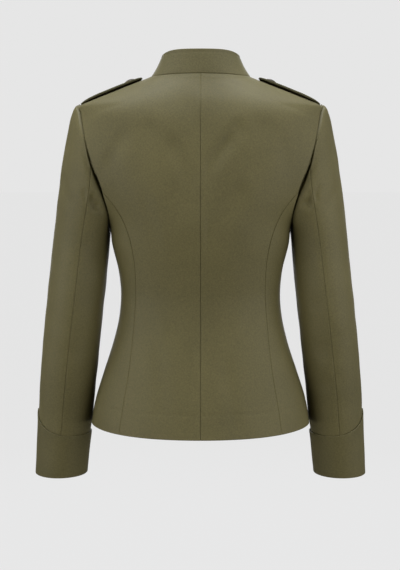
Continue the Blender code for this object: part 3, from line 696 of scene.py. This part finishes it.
def sleeve_part(first, last):
    """Points of the left sleeve between two stations round the armhole, and the turn at each of them."""
    station = first + (last - first) * crowded(SLEEVE_COLUMNS)
    along = np.linspace(0, 1, CAP_ROWS + 1)[:, None] ** CAP_CROWDING
    hand = armhole_hand(station) % 360
    near_back = np.exp(-(((hand - TUCK_TURN) / TUCK_REACH) ** 2))
    moved = station + smooth(CAP, "swing", along) * near_back
    start = body_at_angle(*armhole(armhole_hand(moved) % 360))
    cap_turn = sleeve_turn(BICEPS, moved)
    end = sleeve_ring(BICEPS, cap_turn)
    sine, cosine = np.sin(np.radians(cap_turn)), np.cos(np.radians(cap_turn))
    share = (1 + cosine) / 2
    roll = smooth(CAP, "roll", along) * share
    tuck = smooth(CAP, "tuck", along) * near_back + slit(hand, along * np.linalg.norm(end - start, axis=-1))
    puff = np.stack([roll, roll * ROLL_BACKWARD * sine - tuck, smooth(CAP, "lift", along) * share], axis=-1)
    cap = start + (end - start) * along[..., None] + puff
    along_sleeve = unit((end - start)[0])
    tucked = cap[0] - body_normal(start[0]) * UNDER_DEPTH
    cap = np.stack([tucked - along_sleeve * ALLOWANCE_REACH, tucked, *cap])
    cap_turn = np.stack([cap_turn[0], cap_turn[0], *cap_turn])
    down = 1 - (1 - np.linspace(0, 1, TUBE_ROWS + 1)[1:, None]) ** TUBE_CROWDING
    height = BICEPS + (SLEEVE_END - BICEPS) * down
    tube_turn = sleeve_turn(height, station)
    return np.concatenate([cap, sleeve_ring(height, tube_turn)]), np.concatenate([cap_turn, tube_turn])


def softened(points, middle, reach, times):
    """The grid with the rows near a row eased into each other."""
    weight = np.exp(-(((np.arange(len(points)) - middle) / reach) ** 2))[1:-1, None, None]
    for _ in range(times):
        even = (points[2:] + points[:-2]) / 2
        points = points.copy()
        points[1:-1] += (even - points[1:-1]) * weight * SOFT_STEP
    return points


def neck_seam():
    """Points of the left half of the neck seam, from the centre back to the centre front."""
    halves = []
    for row, backward in ((back_neck_row(), 1), (front_neck_row(0, pi / 2)[1:], -1)):
        across, height = row.T
        halves.append(body_at_angle(height, body_angle(height, across) * backward))
    return np.concatenate(halves)


def collar_points():
    """Points of the collar: rows from the neck seam up, columns round from one end to the other."""
    half = neck_seam()
    half[-1, 0] = COLLAR_OPENING / 2
    whole = np.concatenate([half[::-1] * (-1, 1, 1), half[1:]])
    base = read(whole, crowded(COLLAR_COLUMNS, LIGHT_CROWDING))
    deep = np.where(base[:, 1] > 0, COLLAR_TOP_BACK, COLLAR_TOP_FRONT)
    top = base * np.stack([np.full_like(deep, COLLAR_TOP_SIDE), deep, np.ones_like(deep)], axis=-1)
    top[[0, -1], 0] = base[[0, -1], 0]
    rise = crowded(COLLAR_ROWS)[:, None, None]
    lean = rise * (1 + COLLAR_FLARE * (1 - rise))
    round_neck = np.arctan2(base[:, 1:2], np.abs(base[:, :1]))
    height = COLLAR_HEIGHT - COLLAR_FALL * (1 - np.sin(round_neck).clip(0) ** 2) ** COLLAR_ROUND
    height = height - base[:, 2:].clip(0)
    return base + (top - base) * lean + np.array([0, 0, 1]) * height * rise


def cuff_points():
    """Points of the left cuff: rows from the wrist up, columns round from its seam."""
    station = CUFF_SEAM_STATION + STATIONS * crowded(CUFF_COLUMNS, LIGHT_CROWDING)
    from_peak = np.abs((sleeve_turn(CUFF_TOP, station) - CUFF_PEAK_TURN + 180) % 360 - 180)
    peak = np.clip(1 - from_peak / CUFF_PEAK_REACH, 0, 1) ** CUFF_PEAK_POWER
    top = CUFF_TOP + CUFF_PEAK_RISE * peak
    height = CUFF_BOTTOM + (top - CUFF_BOTTOM) * crowded(CUFF_ROWS)[:, None]
    rings = sleeve_ring(height, sleeve_turn(height, station))
    inward = unit(rings.mean(axis=1, keepdims=True) - rings)
    return rings - inward * (LAID_ON + DOUBLE_CLOTH)


def ridge_height(across):
    """Height of the shoulder ridge at a distance from the centre plane."""
    heights = np.linspace(BODY[-1].height, armhole(0.0)[0], RIDGE_STEPS)
    return np.interp(across, smooth(BODY, "half_width", heights), heights)


def strap_point(across, sideways, share):
    """Points of the left epaulette: sideways runs from -1 to 1 across it, and share through its thickness."""
    y = STRAP_MIDDLE + smooth(STRAP, "half_width", across) * sideways
    height = ridge_height(across) + smooth(STRAP, "stand_off", across)
    height = height - smooth(STRAP, "crown", across) * sideways**2
    height = height + smooth(STRAP, "thickness", across) * share
    return np.stack([across + 0 * y, y, height + 0 * y], axis=-1)


def grid_normals(points):
    """Unit normals of a grid, on the side where its rows turn to its columns by the left hand."""
    return unit(np.cross(np.gradient(points, axis=0), np.gradient(points, axis=1)))


def from_edges(points):
    """How far each point of a grid lies from its four edges, along the cloth."""
    away = {}
    for first, last, axis in (("bottom", "top", 0), ("left", "right", 1)):
        steps = np.linalg.norm(np.diff(points, axis=axis), axis=-1)
        start = np.insert(np.cumsum(steps, axis=axis), 0, 0, axis=axis)
        away[first] = start
        away[last] = np.take(start, [-1], axis=axis) - start
    return away


def smooth_mesh(name, points, faces, sharp=None):
    """A smooth mesh, with edges kept sharp where they turn by more than an angle."""
    mesh = bpy.data.meshes.new(name)
    mesh.from_pydata(points.tolist(), [], faces)
    mesh.shade_smooth()
    if sharp:
        mesh.set_sharp_from_angle(angle=sharp)
    return mesh


def closed_mesh(name, outer, inner, away):
    """A closed mesh between two faces of a shell, unwrapped along the cloth."""
    rows, columns = outer.shape[:2]
    index = np.arange(rows * columns).reshape(rows, columns)
    quads = np.stack([index[:-1, :-1], index[:-1, 1:], index[1:, 1:], index[1:, :-1]], axis=-1).reshape(-1, 4)
    rim = np.concatenate([index[0, :-1], index[:-1, -1], index[-1, :0:-1], index[:0:-1, 0]])
    back = index.size
    sides = np.stack([rim, rim + back, np.roll(rim, -1) + back, np.roll(rim, -1)], axis=-1)
    faces = np.concatenate([quads, quads[:, ::-1] + back, sides])
    toward = np.cross(outer[1, 0] - outer[0, 0], outer[0, 1] - outer[0, 0])
    if toward @ (outer[0, 0] - inner[0, 0]) > 0:
        faces = faces[:, ::-1]
    points = np.concatenate([outer.reshape(-1, 3), inner.reshape(-1, 3)])
    mesh = smooth_mesh(name, points, faces.tolist(), SHARP_CLOTH)
    flat = np.stack([away["left"].ravel(), away["bottom"].ravel()], axis=-1)
    flat = np.concatenate([flat, flat])
    corners = np.empty(len(mesh.loops), dtype=np.int32)
    mesh.loops.foreach_get("vertex_index", corners)
    mesh.uv_layers.new(name="cloth").data.foreach_set("uv", flat[corners].ravel())
    return mesh


def add(name, mesh, material, replaced=None):
    """A piece of the jacket, in place of a node where one is named."""
    mesh.materials.append(material)
    piece = bpy.data.objects.new(name, mesh)
    bpy.context.scene.collection.objects.link(piece)
    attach(piece, "root")
    if replaced:
        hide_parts(replaced)
    return piece


def shell(node, points, outward, edges, material, thickness=CLOTH, relief=0.0):
    """A thin closed shell of cloth for a node.

    edges says which of its edges are sewn, with the share of the seam's depth, and which are turned.
    """
    away = from_edges(points)
    normals = grid_normals(points)
    normals *= np.sign((normals * outward).sum(axis=-1, keepdims=True))
    sink = np.zeros(points.shape[:2]) + relief
    for side, share in edges["sewn"].items():
        sink += valley(away[side], 0, SEAM_DEPTH * share, SEAM_WIDTH)
        level = ALLOWANCE_WIDTH * ALLOWANCE_LEVEL
        sink -= ALLOWANCE_LIFT * share * (1 - step_up(away[side], level, ALLOWANCE_WIDTH))
    points = points.copy()
    for side, (last, before, axis) in EDGE_ROWS.items():
        if side in edges["sewn"]:
            outwards = np.take(points, last, axis=axis) - np.take(points, before, axis=axis)
            outwards *= SEAM_OVERLAP / np.linalg.norm(outwards, axis=-1, keepdims=True)
            points[(slice(None),) * axis + (last,)] += outwards
    outer = points - normals * sink[..., None]
    inner = outer - normals * thickness
    half = thickness / 2
    for side in edges["turned"].split():
        short = np.clip(half - away[side], 0, half)
        curl = (half - np.sqrt(half**2 - short**2)) * CURL
        outer = outer - normals * curl[..., None]
        inner = inner + normals * curl[..., None]
    name = "shell_" + node
    piece = add(name, closed_mesh(name, outer, inner, away), material, node)
    return piece


def rounding(points):
    """How far the worn cloth eases over the turn from the shoulder into the upper back."""
    across, y, height = np.moveaxis(points, -1, 0)
    reach = np.clip((ridge_height(np.abs(across)) - height) * EASE_SHARE, 0, EASE_REACH)
    steps = np.linspace(-EASE_SPAN, EASE_SPAN, EASE_STEPS)
    weights = np.exp(-(steps**2) / 2)
    even = 0
    for step, weight in zip(steps, weights / weights.sum()):
        at = height + step * reach
        even = even + weight * body_at_angle(at, body_angle(at, across))[..., 1]
    return (y - even) * body_normal(points)[..., 1] * step_up(height, *EASE_HEIGHTS)


def unevenness(points, seed, height):
    """A slow, slight waviness that worn cloth has."""
    rng = np.random.default_rng(seed)
    wave = 0
    for _ in range(WAVE_COUNT):
        direction = rng.normal(size=3)
        direction *= 2 * pi / (rng.uniform(WAVE_SHORT, WAVE_LONG) * np.linalg.norm(direction))
        wave = wave + np.sin(points @ direction + rng.uniform(0, 2 * pi))
    return wave * height / sqrt(WAVE_COUNT)


def fine_folds(points):
    """How deep the fine folds of the torso are, the back's on its back and the front's on its front."""
    across, height = points[..., 0], points[..., 2]
    backward = step_up(points[..., 1], -FOLD_TURN, FOLD_TURN)
    fine = crease(BACK_CREASES, across, height, BACK_SLACK) * backward
    return fine + crease(FRONT_CREASES, across, height) * (1 - backward)


def make_panel(part, name, points, cloth):
    """A panel of the torso, with its fine folds, unevenness, hem line and seams."""
    height = points[..., 2]
    away = from_edges(points)
    edge = np.minimum.reduce([away[key] for key in SEWN[part]])
    relief = (fine_folds(points) + unevenness(points, *TORSO_WAVES)) * step_up(edge, 0, PANEL_FADE)
    relief = relief + valley(away["bottom"], *HEM_LINE)
    shares = dict.fromkeys(SEWN[part], 1.0)
    if part == "back":
        hangs = step_up(height, *OVERHANG_START) * (1 - step_up(height, *OVERHANG_END))
        shares["left"] = changed(height, *CENTRE_SEAM)
        shares["right"] = (1 - hangs) * changed(height, *BACK_PRINCESS_SEAM)
        relief = relief + rounding(points) * step_up(edge, 0, ROUNDING_FADE)
        relief = relief - valley(away["right"], 0, OVERHANG * hangs, OVERHANG_REACH)
    if part == "side":
        shares["left"] = changed(height, *PRINCESS_SEAM)
    edges = {"sewn": shares, "turned": "bottom left" if part == "front" else "bottom"}
    shell(f"{part}_{name}", points, body_normal(points), edges, cloth, relief=relief)


def make_torso(cloth):
    grids = {"back": back_points(), "side": side_points(), "front": front_points(False)}
    lapping = front_points(True)
    for part, points in grids.items():
        for name, side in SIDES.items():
            laps = part == "front" and name == "right"
            make_panel(part, name, on_side(lapping if laps else points, side), cloth)


def make_sleeves(cloth):
    parts = {
        "upper_sleeve": sleeve_part(FRONT_SLEEVE_SEAM - STATIONS, BACK_SLEEVE_SEAM),
        "under_sleeve": sleeve_part(BACK_SLEEVE_SEAM, FRONT_SLEEVE_SEAM),
    }
    edges = {"sewn": dict.fromkeys(("left", "right"), SLEEVE_SEAM), "turned": "bottom"}
    for part, (points, turn) in parts.items():
        points = softened(points, CAP_ROWS + 2, BICEPS_SOFT_REACH, BICEPS_SOFT_TIMES)[::-1]
        height = points[..., 2]
        round_sleeve = np.radians((turn[::-1] + 180) % 360 - 180) * SLEEVE_RADIUS
        away = from_edges(points)
        from_armhole = np.abs(away["top"] - away["top"][-3])
        edge = np.minimum.reduce([away["left"], away["right"], from_armhole])
        centre = smooth(SLEEVE, "inner", height) + smooth(SLEEVE, "outer", height)
        for name, side in SIDES.items():
            mine = on_side(points, side)
            middle = np.stack([side * centre / 2, smooth(SLEEVE, "middle", height), height], axis=-1)
            relief = crease(SLEEVE_CREASES[name], round_sleeve, height) + unevenness(mine, *SLEEVE_WAVES)
            relief = relief * step_up(edge, 0, SLEEVE_FADE)
            relief = relief + valley(from_armhole, 0, SEAM_DEPTH * ARMHOLE_SEAM, SEAM_WIDTH)
            shell(f"{part}_{name}", mine, from_line(mine, middle), edges, cloth, relief=relief)


def make_collar(cloth):
    points = collar_points()
    seam = points[0]
    angle = body_angle(seam[:, 2], seam[:, 0]) * np.sign(seam[:, 1])
    below = body_at_angle(seam[:, 2] - ALLOWANCE_REACH, angle)
    tucked = [edge - body_normal(edge) * UNDER_DEPTH for edge in (below, seam)]
    points = np.stack([*tucked, *points])
    away = from_edges(points)
    relief = unevenness(points, *COLLAR_WAVES) + valley(away["top"], *COLLAR_LINE)
    relief = relief + valley(away["bottom"], away["bottom"][2], SEAM_DEPTH * COLLAR_SEAM, SEAM_WIDTH)
    edges = {"sewn": {}, "turned": "top left right"}
    shell("collar", points, points * (1, 1, 0), edges, cloth, DOUBLE_CLOTH, relief)


def make_cuffs(cloth):
    points = cuff_points()
    edges = {"sewn": {"left": 1.0, "right": 1.0}, "turned": "bottom top"}
    for name, side in SIDES.items():
        mine = on_side(points, side)
        outward = from_line(mine, mine.mean(axis=1, keepdims=True))
        relief = unevenness(mine, *CUFF_WAVES[name]) * step_up(from_edges(mine)["top"], 0, CUFF_FADE)
        shell("cuff_" + name, mine, outward, edges, cloth, DOUBLE_CLOTH, relief)


def cord_radius(across):
    return smooth(STRAP, "thickness", across) * CORD_SHARE


def strap_edge():
    """The middle line of the left epaulette's edge cord, round its tip, and the cord's radius along it."""
    tip_row, end_row = STRAP[0], STRAP[-1]
    run = np.linspace(end_row.across, tip_row.across, STRAP_OUTLINE_POINTS)
    half = smooth(STRAP, "half_width", run)
    tip = np.linspace(1, -1, STRAP_TIP_POINTS)[1:-1]
    across = np.concatenate([run, 0 * tip + tip_row.across, run[::-1]])
    y = np.concatenate([half, tip * tip_row.half_width, -half[::-1]])
    plan = np.stack([across, y], axis=-1)
    step = np.gradient(plan, axis=0)
    inward = unit(np.stack([step[:, 1], -step[:, 0]], axis=-1))
    inward *= np.sign((inward * (np.array(STRAP_INSIDE) - plan)).sum(axis=-1, keepdims=True))
    plan = plan + inward * cord_radius(across)[:, None]
    length = run_along(plan)
    even = np.linspace(0, length[-1], CORD_POINTS)
    path = np.stack([np.interp(even, length, column) for column in plan.T])
    for _ in range(CORD_SMOOTHING):
        path[:, 1:-1] = (path[:, :-2] + 2 * path[:, 1:-1] + path[:, 2:]) / 4
    across, y = path
    sideways = y / smooth(STRAP, "half_width", across)
    return strap_point(across, sideways, CORD_MIDDLE), cord_radius(across)


def strap_faces(side, across, inset, shares):
    """Grids of points on a strap's faces at these shares of its thickness."""
    half = smooth(STRAP, "half_width", across)
    sideways = crowded(STRAP_COLUMNS) * 2 - 1
    sideways = sideways[None, :] * ((half - inset) / half)[:, None]
    return [on_side(strap_point(across[:, None], sideways, share), side) for share in shares]


def strap_inlay(name, side, across, cloth):
    """The cloth of a strap, sunk at its stitch line and towards the cord."""
    faces = strap_faces(side, across, cord_radius(across), (STRAP_INLAY_TOP, STRAP_INLAY_BASE))
    away = from_edges(faces[0])
    edge = np.minimum.reduce(list(away.values()))
    pillow = STRAP_PILLOW * (1 - step_up(edge, 0, STRAP_PILLOW_REACH))
    faces[0][..., 2] -= valley(edge, *STRAP_LINE) + pillow
    mesh = closed_mesh("shell_epaulette_" + name, *faces, away)
    return add("shell_epaulette_" + name, mesh, cloth, "epaulette_" + name)


def strap_shadow_sheet(name, side, across, painted_shadow):
    """A black sheet under a strap, its sides turned down: painted shadow of the gap below the strap."""
    faces = strap_faces(side, across, STRAP_SHADOW_SHEET_INSET, (STRAP_SHADOW_SHEET_TOP, 0.0))
    spread = (crowded(STRAP_COLUMNS) * 2 - 1)[None, :] ** 2
    faces[1][..., 2] -= STRAP_SHADOW_SHEET_DROP * spread * (1 - step_up(across, *STRAP_SHADOW_SHEET_LEVEL))[:, None]
    mesh = closed_mesh("epaulette_backing_" + name, *faces, from_edges(faces[0]))
    return add("epaulette_backing_" + name, mesh, painted_shadow)


def make_straps(cloth, braid, painted_shadow, horn):
    path, radius = strap_edge()
    tip, end = STRAP[0].across, STRAP[-1].across
    across = tip + (end - tip) * crowded(STRAP_ROWS, STRAP_CROWDING)
    across = across.clip(tip + STRAP_TIP_CLEAR, None)
    for name, side in SIDES.items():
        strap = strap_inlay(name, side, across, cloth)
        cord = rope("epaulette_cord_" + name, on_side(path, side), radius, side, braid)
        # the black sheet under the strap is painted shadow of the gap beneath it
        trim = [cord, strap_shadow_sheet(name, side, across, painted_shadow)]
        top = strap_point(np.array(STRAP_BUTTON_ACROSS), np.array(0.0), STRAP_INLAY_TOP)[2]
        facing = np.array([side * sin(SHOULDER_SLOPE), 0, cos(SHOULDER_SLOPE)])
        at = np.array([side * STRAP_BUTTON_ACROSS, STRAP_MIDDLE, top]) + facing * LAID_ON
        button("epaulette_button_" + name, at, facing, STRAP_BUTTON_RADIUS, STRAP_BUTTON_HEIGHT, horn)


def joined_tubes(name, paths, radii, sides, material):
    """Round tubes with closed ends along paths, as one piece."""
    spin = np.linspace(0, 2 * pi, sides, endpoint=False)[:, None]
    points, faces = [], []
    for path, radius in zip(paths, radii):
        first, second = square_to(unit(np.gradient(path, axis=0)), TUBE_UP)
        ring = first[:, None] * np.cos(spin) + second[:, None] * np.sin(spin)
        radius = np.broadcast_to(radius, len(path))[:, None, None]
        start = sum(len(group) for group in points)
        points.append((path[:, None] + ring * radius).reshape(-1, 3))
        index = start + np.arange(len(path) * sides).reshape(len(path), sides)
        around = np.roll(index, -1, axis=1)
        quads = np.stack([index[:-1], around[:-1], around[1:], index[1:]], axis=-1).reshape(-1, 4)
        faces += quads.tolist() + [index[0, ::-1].tolist(), index[-1].tolist()]
    return add(name, smooth_mesh(name, np.concatenate(points), faces), material)


def rope(name, path, radius, hand, material):
    """A cord of twisted strands along a path, of a radius at each point."""
    first, second = square_to(unit(np.gradient(path, axis=0)), (0, 0, 1.0))
    run = run_along(path)
    strands = []
    for number in range(CORD_STRANDS):
        twist = (hand * 2 * pi * run / CORD_PITCH + 2 * pi * number / CORD_STRANDS)[:, None]
        off = STRAND_SHARE * radius[:, None] * (first * np.cos(twist) + second * np.sin(twist))
        strands.append(path + off)
    return joined_tubes(name, strands, [radius * STRAND_SHARE] * CORD_STRANDS, STRAND_SIDES, material)


def button(node, at, facing, radius, height, material):
    """A turned button with a rim, in place of a node."""
    facing = unit(facing)
    first, second = square_to(facing, (0, 1.0, 0) if abs(facing[1]) < NEARLY_ALONG_Y else (0, 0, 1.0))
    spin = np.linspace(0, 2 * pi, BUTTON_SIDES, endpoint=False)[:, None]
    round_about = first * np.cos(spin) + second * np.sin(spin)
    points = [at + facing * height * BUTTON_PROFILE[0].up]
    for row in BUTTON_PROFILE[1:-1]:
        points += list(at + facing * height * row.up + round_about * radius * row.across)
    points.append(at + facing * height * BUTTON_PROFILE[-1].up)
    rings = [1 + ring * BUTTON_SIDES for ring in range(len(BUTTON_PROFILE) - 2)]
    faces = []
    for here in range(BUTTON_SIDES):
        there = (here + 1) % BUTTON_SIDES
        faces.append((0, 1 + here, 1 + there))
        for low, high in zip(rings, rings[1:]):
            faces.append((low + here, high + here, high + there, low + there))
        faces.append((rings[-1] + here, len(points) - 1, rings[-1] + there))
    mesh = smooth_mesh(node, np.array(points), faces, SHARP_HORN)
    return add("turned_" + node, mesh, material, node)


def buttonhole_path(middle_height):
    """The loop of a worked buttonhole on the right front's lap, slightly uneven from its stitches."""
    turn = np.linspace(0, 2 * pi, BUTTONHOLE_POINTS)
    square = np.sign(np.cos(turn)) * np.abs(np.cos(turn)) ** BUTTONHOLE_POWER
    across = BUTTONHOLE_PAST - BUTTONHOLE_LENGTH / 2 + (BUTTONHOLE_LENGTH - BUTTONHOLE_WIDTH) / 2 * square
    height = middle_height + BUTTONHOLE_WIDTH / 2 * np.sin(turn)
    on_form = body_at_angle(height, -body_angle(height, across))
    stitches = STITCH_HEIGHT * np.sin(turn * STITCHES)[:, None]
    return on_form + body_normal(on_form) * (LAP_RISE + THREAD_LIFT + stitches)


def make_front_fastening(horn, thread):
    """The front buttons, and the worked buttonholes that they close."""
    for number, row in enumerate(FRONT_BUTTONS, 1):
        on_form = body_at_angle(row.height, -90.0)
        facing = body_normal(on_form)
        at = on_form + facing * (LAP_RISE + row.thread)
        button(f"front_button_{number}", at, facing, FRONT_BUTTON_RADIUS, FRONT_BUTTON_HEIGHT, horn)
        path = buttonhole_path(row.height)
        joined_tubes(f"buttonhole_{number}", [path], [THREAD_RADIUS], THREAD_SIDES, thread)


# Materials: linear colours
OLIVE = (0.1010, 0.0868, 0.0342)
# the collar's twill is the body's made lighter and greyer: painted light
COLLAR_OLIVE_PAINTED_LIGHT = (0.1100, 0.0965, 0.0430)
BRAID = (0.062, 0.056, 0.026)
HORN = (0.050, 0.040, 0.023)
# black of the sheet under the straps: painted shadow of the gap between strap and shoulder
SHADOW_BLACK = (0.004, 0.003, 0.001)
WHITE = (1, 1, 1, 1)
SHEEN_TINT = (0.80, 0.78, 0.62, 1)
# the cuffs' twill is the body's twill made darker: painted shade
CUFF_PAINTED_SHADE, THREAD_SHADE = 0.88, 0.8
TWILL_PITCH = 0.0024  # of its ribs along the cloth's length
WAVE_PITCH = 2 * pi / 10  # of the wave texture at scale 1


def scaled(colour, by):
    return tuple(channel * by for channel in colour)


def fill(made, values):
    """Gives a node's inputs their values: constants, or what other nodes put out."""
    for name, value in values.items():
        if isinstance(value, bpy.types.NodeSocket):
            made.id_data.links.new(value, made.inputs[name])
        else:
            made.inputs[name].default_value = value


def node(tree, kind, values=None, **settings):
    """A node with values for its inputs and settings of its own."""
    made = tree.nodes.new(kind)
    for name, setting in settings.items():
        setattr(made, name, setting)
    fill(made, values or {})
    return made


def principled(name, specular):
    """A new material, its node tree and its shader."""
    material = bpy.data.materials.new(name)
    material.use_nodes = True
    shader = material.node_tree.nodes["Principled BSDF"]
    fill(shader, {"Specular IOR Level": specular})
    return material, material.node_tree, shader


def noise(tree, scale, detail, roughness, stretch=None, distortion=0.0):
    """Noise over the object, or over the cloth's own flat coordinates when stretched."""
    coordinates = node(tree, "ShaderNodeTexCoord").outputs
    at = coordinates["Object"]
    if stretch:
        mapping = node(tree, "ShaderNodeMapping", {"Scale": stretch, "Vector": coordinates["UV"]})
        at = mapping.outputs["Vector"]
    values = {"Scale": scale, "Detail": detail, "Roughness": roughness, "Distortion": distortion}
    return node(tree, "ShaderNodeTexNoise", {**values, "Vector": at}).outputs["Fac"]


def ribs(tree):
    """The diagonal ribs of a twill, over the cloth's own flat coordinates."""
    at = node(tree, "ShaderNodeTexCoord").outputs["UV"]
    values = {"Scale": WAVE_PITCH / TWILL_PITCH, "Distortion": 0.6, "Detail": 1.0, "Vector": at}
    wave = node(tree, "ShaderNodeTexWave", values, wave_type="BANDS", bands_direction="DIAGONAL")
    return wave.outputs["Fac"]


def weighed(tree, value, by, plus=None):
    """A value times a number, plus another value."""
    if plus is None:
        return node(tree, "ShaderNodeMath", {0: value, 1: by}, operation="MULTIPLY").outputs[0]
    return node(tree, "ShaderNodeMath", {0: value, 1: by, 2: plus}, operation="MULTIPLY_ADD").outputs[0]


def paint(tree, shader, value, colour, shades, stops):
    """The base colour: from one shade of a colour to another as a value runs between two stops."""
    made = node(tree, "ShaderNodeValToRGB", {"Fac": value})
    for element, shade, stop in zip(made.color_ramp.elements, shades, stops):
        element.position = stop
        element.color = (*scaled(colour, shade), 1)
    fill(shader, {"Base Color": made.outputs["Color"]})


def roughen(tree, shader, value, low, high):
    """Roughness that follows a value."""
    made = node(tree, "ShaderNodeMapRange", {"Value": value, "To Min": low, "To Max": high})
    fill(shader, {"Roughness": made.outputs["Result"]})


def emboss(tree, shader, value, strength, distance):
    """Fine relief that follows a value."""
    made = node(tree, "ShaderNodeBump", {"Height": value, "Strength": strength, "Distance": distance})
    fill(shader, {"Normal": made.outputs["Normal"]})


def twill(name, colour):
    """Fine smooth twill: diagonal ribs, yarn grain, slow shading of the dye, and a satin nap."""
    material, tree, shader = principled(name, specular=0.22)
    slow = noise(tree, scale=9.0, detail=2.0, roughness=0.5)
    grain = noise(tree, scale=420.0, detail=2.0, roughness=0.55)
    slub = noise(tree, scale=1.0, detail=2.0, roughness=0.6, stretch=(260.0, 1900.0, 1.0))
    shade = weighed(tree, grain, by=0.45, plus=weighed(tree, slow, by=0.30))
    shade = weighed(tree, slub, by=0.25, plus=shade)
    paint(tree, shader, shade, colour, shades=(0.77, 1.26), stops=(0.34, 0.66))
    roughen(tree, shader, grain, low=0.52, high=0.70)
    emboss(tree, shader, weighed(tree, ribs(tree), by=0.55, plus=grain), strength=0.35, distance=0.00025)
    fill(shader, {"Sheen Weight": 0.03, "Sheen Roughness": 0.42, "Sheen Tint": SHEEN_TINT})
    return material


def corded(name, colour, lustre=0.15):
    """Twisted yarn; also the flat black that paints the shadow under the straps."""
    material, tree, shader = principled(name, specular=lustre)
    grain = noise(tree, scale=900.0, detail=3.0, roughness=0.65)
    paint(tree, shader, grain, colour, shades=(0.6, 1.7), stops=(0.35, 0.65))
    roughen(tree, shader, grain, low=0.62, high=0.85)
    emboss(tree, shader, grain, strength=0.5, distance=0.0003)
    return material


def horn_material():
    """Polished dark horn with paler streaks and fine scratches."""
    material, tree, shader = principled("dark_horn", specular=0.35)
    streaks = noise(tree, scale=90.0, detail=4.0, roughness=0.55, distortion=1.4)
    scratches = noise(tree, scale=2600.0, detail=2.0, roughness=0.5)
    paint(tree, shader, streaks, HORN, shades=(0.55, 2.4), stops=(0.38, 0.70))
    roughen(tree, shader, scratches, low=0.40, high=0.58)
    emboss(tree, shader, scratches, strength=0.12, distance=0.0001)
    return material


# Stage
PALE = 0.791  # linear value of the photograph's ground
AMBIENT = 0.13  # strength of the light from all round
FLOOR_AT, FLOOR_REACH = -1.45, 60.0
FLOOR_GREY, FLOOR_CAUGHT = 0.02, 0.015  # its own colour, and the light that it gives back
COOL, SOFT, WARM = (0.96, 1.0, 1.10), (0.98, 1.0, 1.05), (1.02, 1.0, 0.95)
AIM = (0.0, 0.0, -0.3)
LIGHTS = table(  # a row away from the middle stands for a pair, one on each side
    "name at size power tint",
    ("overhead", (0.0, 0.0, 2.3), (2.4, 1.6), 108.0, COOL),
    ("back", (2.0, 2.2, 0.3), (1.4, 2.2), 19.7, SOFT),
    ("low", (2.0, 2.2, -0.7), (1.4, 1.4), 18.0, WARM),
    ("side", (2.5, 0.7, -0.05), (1.6, 2.2), 28.0, SOFT),
    ("front", (1.0, -2.8, 0.3), (1.4, 2.2), 24.0, SOFT),
)


def placed(name, data, at, turn):
    """A new object in the scene."""
    made = bpy.data.objects.new(name, data)
    made.location = at
    made.rotation_euler = turn
    bpy.context.scene.collection.objects.link(made)
    return made


def make_camera():
    camera = bpy.data.cameras.new("view")
    camera.lens = LENS
    camera.sensor_width = SENSOR
    camera.shift_x = CAMERA_SHIFT
    camera.clip_end = VIEW_REACH
    bpy.context.scene.camera = placed("view", camera, CAMERA_AT, (pi / 2 - CAMERA_DROP, 0, pi))


def soft_light(name, at, row):
    light = bpy.data.lights.new(name, "AREA")
    light.shape = "RECTANGLE"
    light.size, light.size_y = row.size
    light.energy = row.power
    light.color = row.tint
    aim = Vector(AIM) - Vector(at)
    placed(name, light, at, aim.to_track_quat("-Z", "Y").to_euler()).visible_camera = False


def make_lights():
    for row in LIGHTS:
        across, y, height = row.at
        if across == 0:
            soft_light(row.name, row.at, row)
            continue
        for name, side in SIDES.items():
            soft_light(f"{row.name}_{name}", (across * side, y, height), row)


def make_ground():
    """A pale ground all round, dimmer as a light than it looks."""
    world = bpy.data.worlds.new("tent")
    world.use_nodes = True
    tree = world.node_tree
    ambient = tree.nodes["Background"]
    fill(ambient, {"Color": WHITE, "Strength": AMBIENT})
    seen = node(tree, "ShaderNodeBackground", {"Color": WHITE, "Strength": PALE})
    by_ray = node(tree, "ShaderNodeLightPath").outputs["Is Camera Ray"]
    mix = node(tree, "ShaderNodeMixShader", {0: by_ray, 1: ambient.outputs[0], 2: seen.outputs[0]})
    fill(tree.nodes["World Output"], {"Surface": mix.outputs[0]})
    bpy.context.scene.world = world


def make_floor():
    """A wide floor that shines as pale as the ground, and casts no light or shadow on the jacket."""
    corners = np.array([(-1, -1), (1, -1), (1, 1), (-1, 1)]) * FLOOR_REACH
    mesh = bpy.data.meshes.new("floor")
    mesh.from_pydata([(x, y, FLOOR_AT) for x, y in corners.tolist()], [], [(0, 1, 2, 3)])
    material, _, shader = principled("pale_floor", specular=0.0)
    fill(shader, {"Base Color": (FLOOR_GREY, FLOOR_GREY, FLOOR_GREY, 1), "Roughness": 1.0})
    fill(shader, {"Emission Color": WHITE, "Emission Strength": PALE - FLOOR_CAUGHT})
    mesh.materials.append(material)
    floor = placed("floor", mesh, (0, 0, 0), (0, 0, 0))
    floor.visible_diffuse = floor.visible_glossy = floor.visible_shadow = False


def main():
    cloth = twill("olive_twill", OLIVE)
    # the cuffs' cloth is the same twill darkened: painted shade
    cuff_cloth = twill("olive_twill_cuff_painted_shade", scaled(OLIVE, CUFF_PAINTED_SHADE))
    # the collar's cloth is the same twill made lighter: painted light
    collar_cloth = twill("olive_twill_collar_painted_light", COLLAR_OLIVE_PAINTED_LIGHT)
    braid = corded("dark_braid", BRAID)
    # a black sheet under each strap paints the shadow between strap and shoulder
    painted_shadow = corded("painted_shadow_black", SHADOW_BLACK, 0.0)
    horn = horn_material()
    thread = corded("olive_thread", scaled(OLIVE, THREAD_SHADE))
    make_camera()
    make_ground()
    make_floor()
    make_lights()
    bpy.context.scene.view_settings.view_transform = "Standard"
    make_torso(cloth)
    make_sleeves(cloth)
    make_collar(collar_cloth)
    make_cuffs(cuff_cloth)
    make_straps(cloth, braid, painted_shadow, horn)
    make_front_fastening(horn, thread)


main()
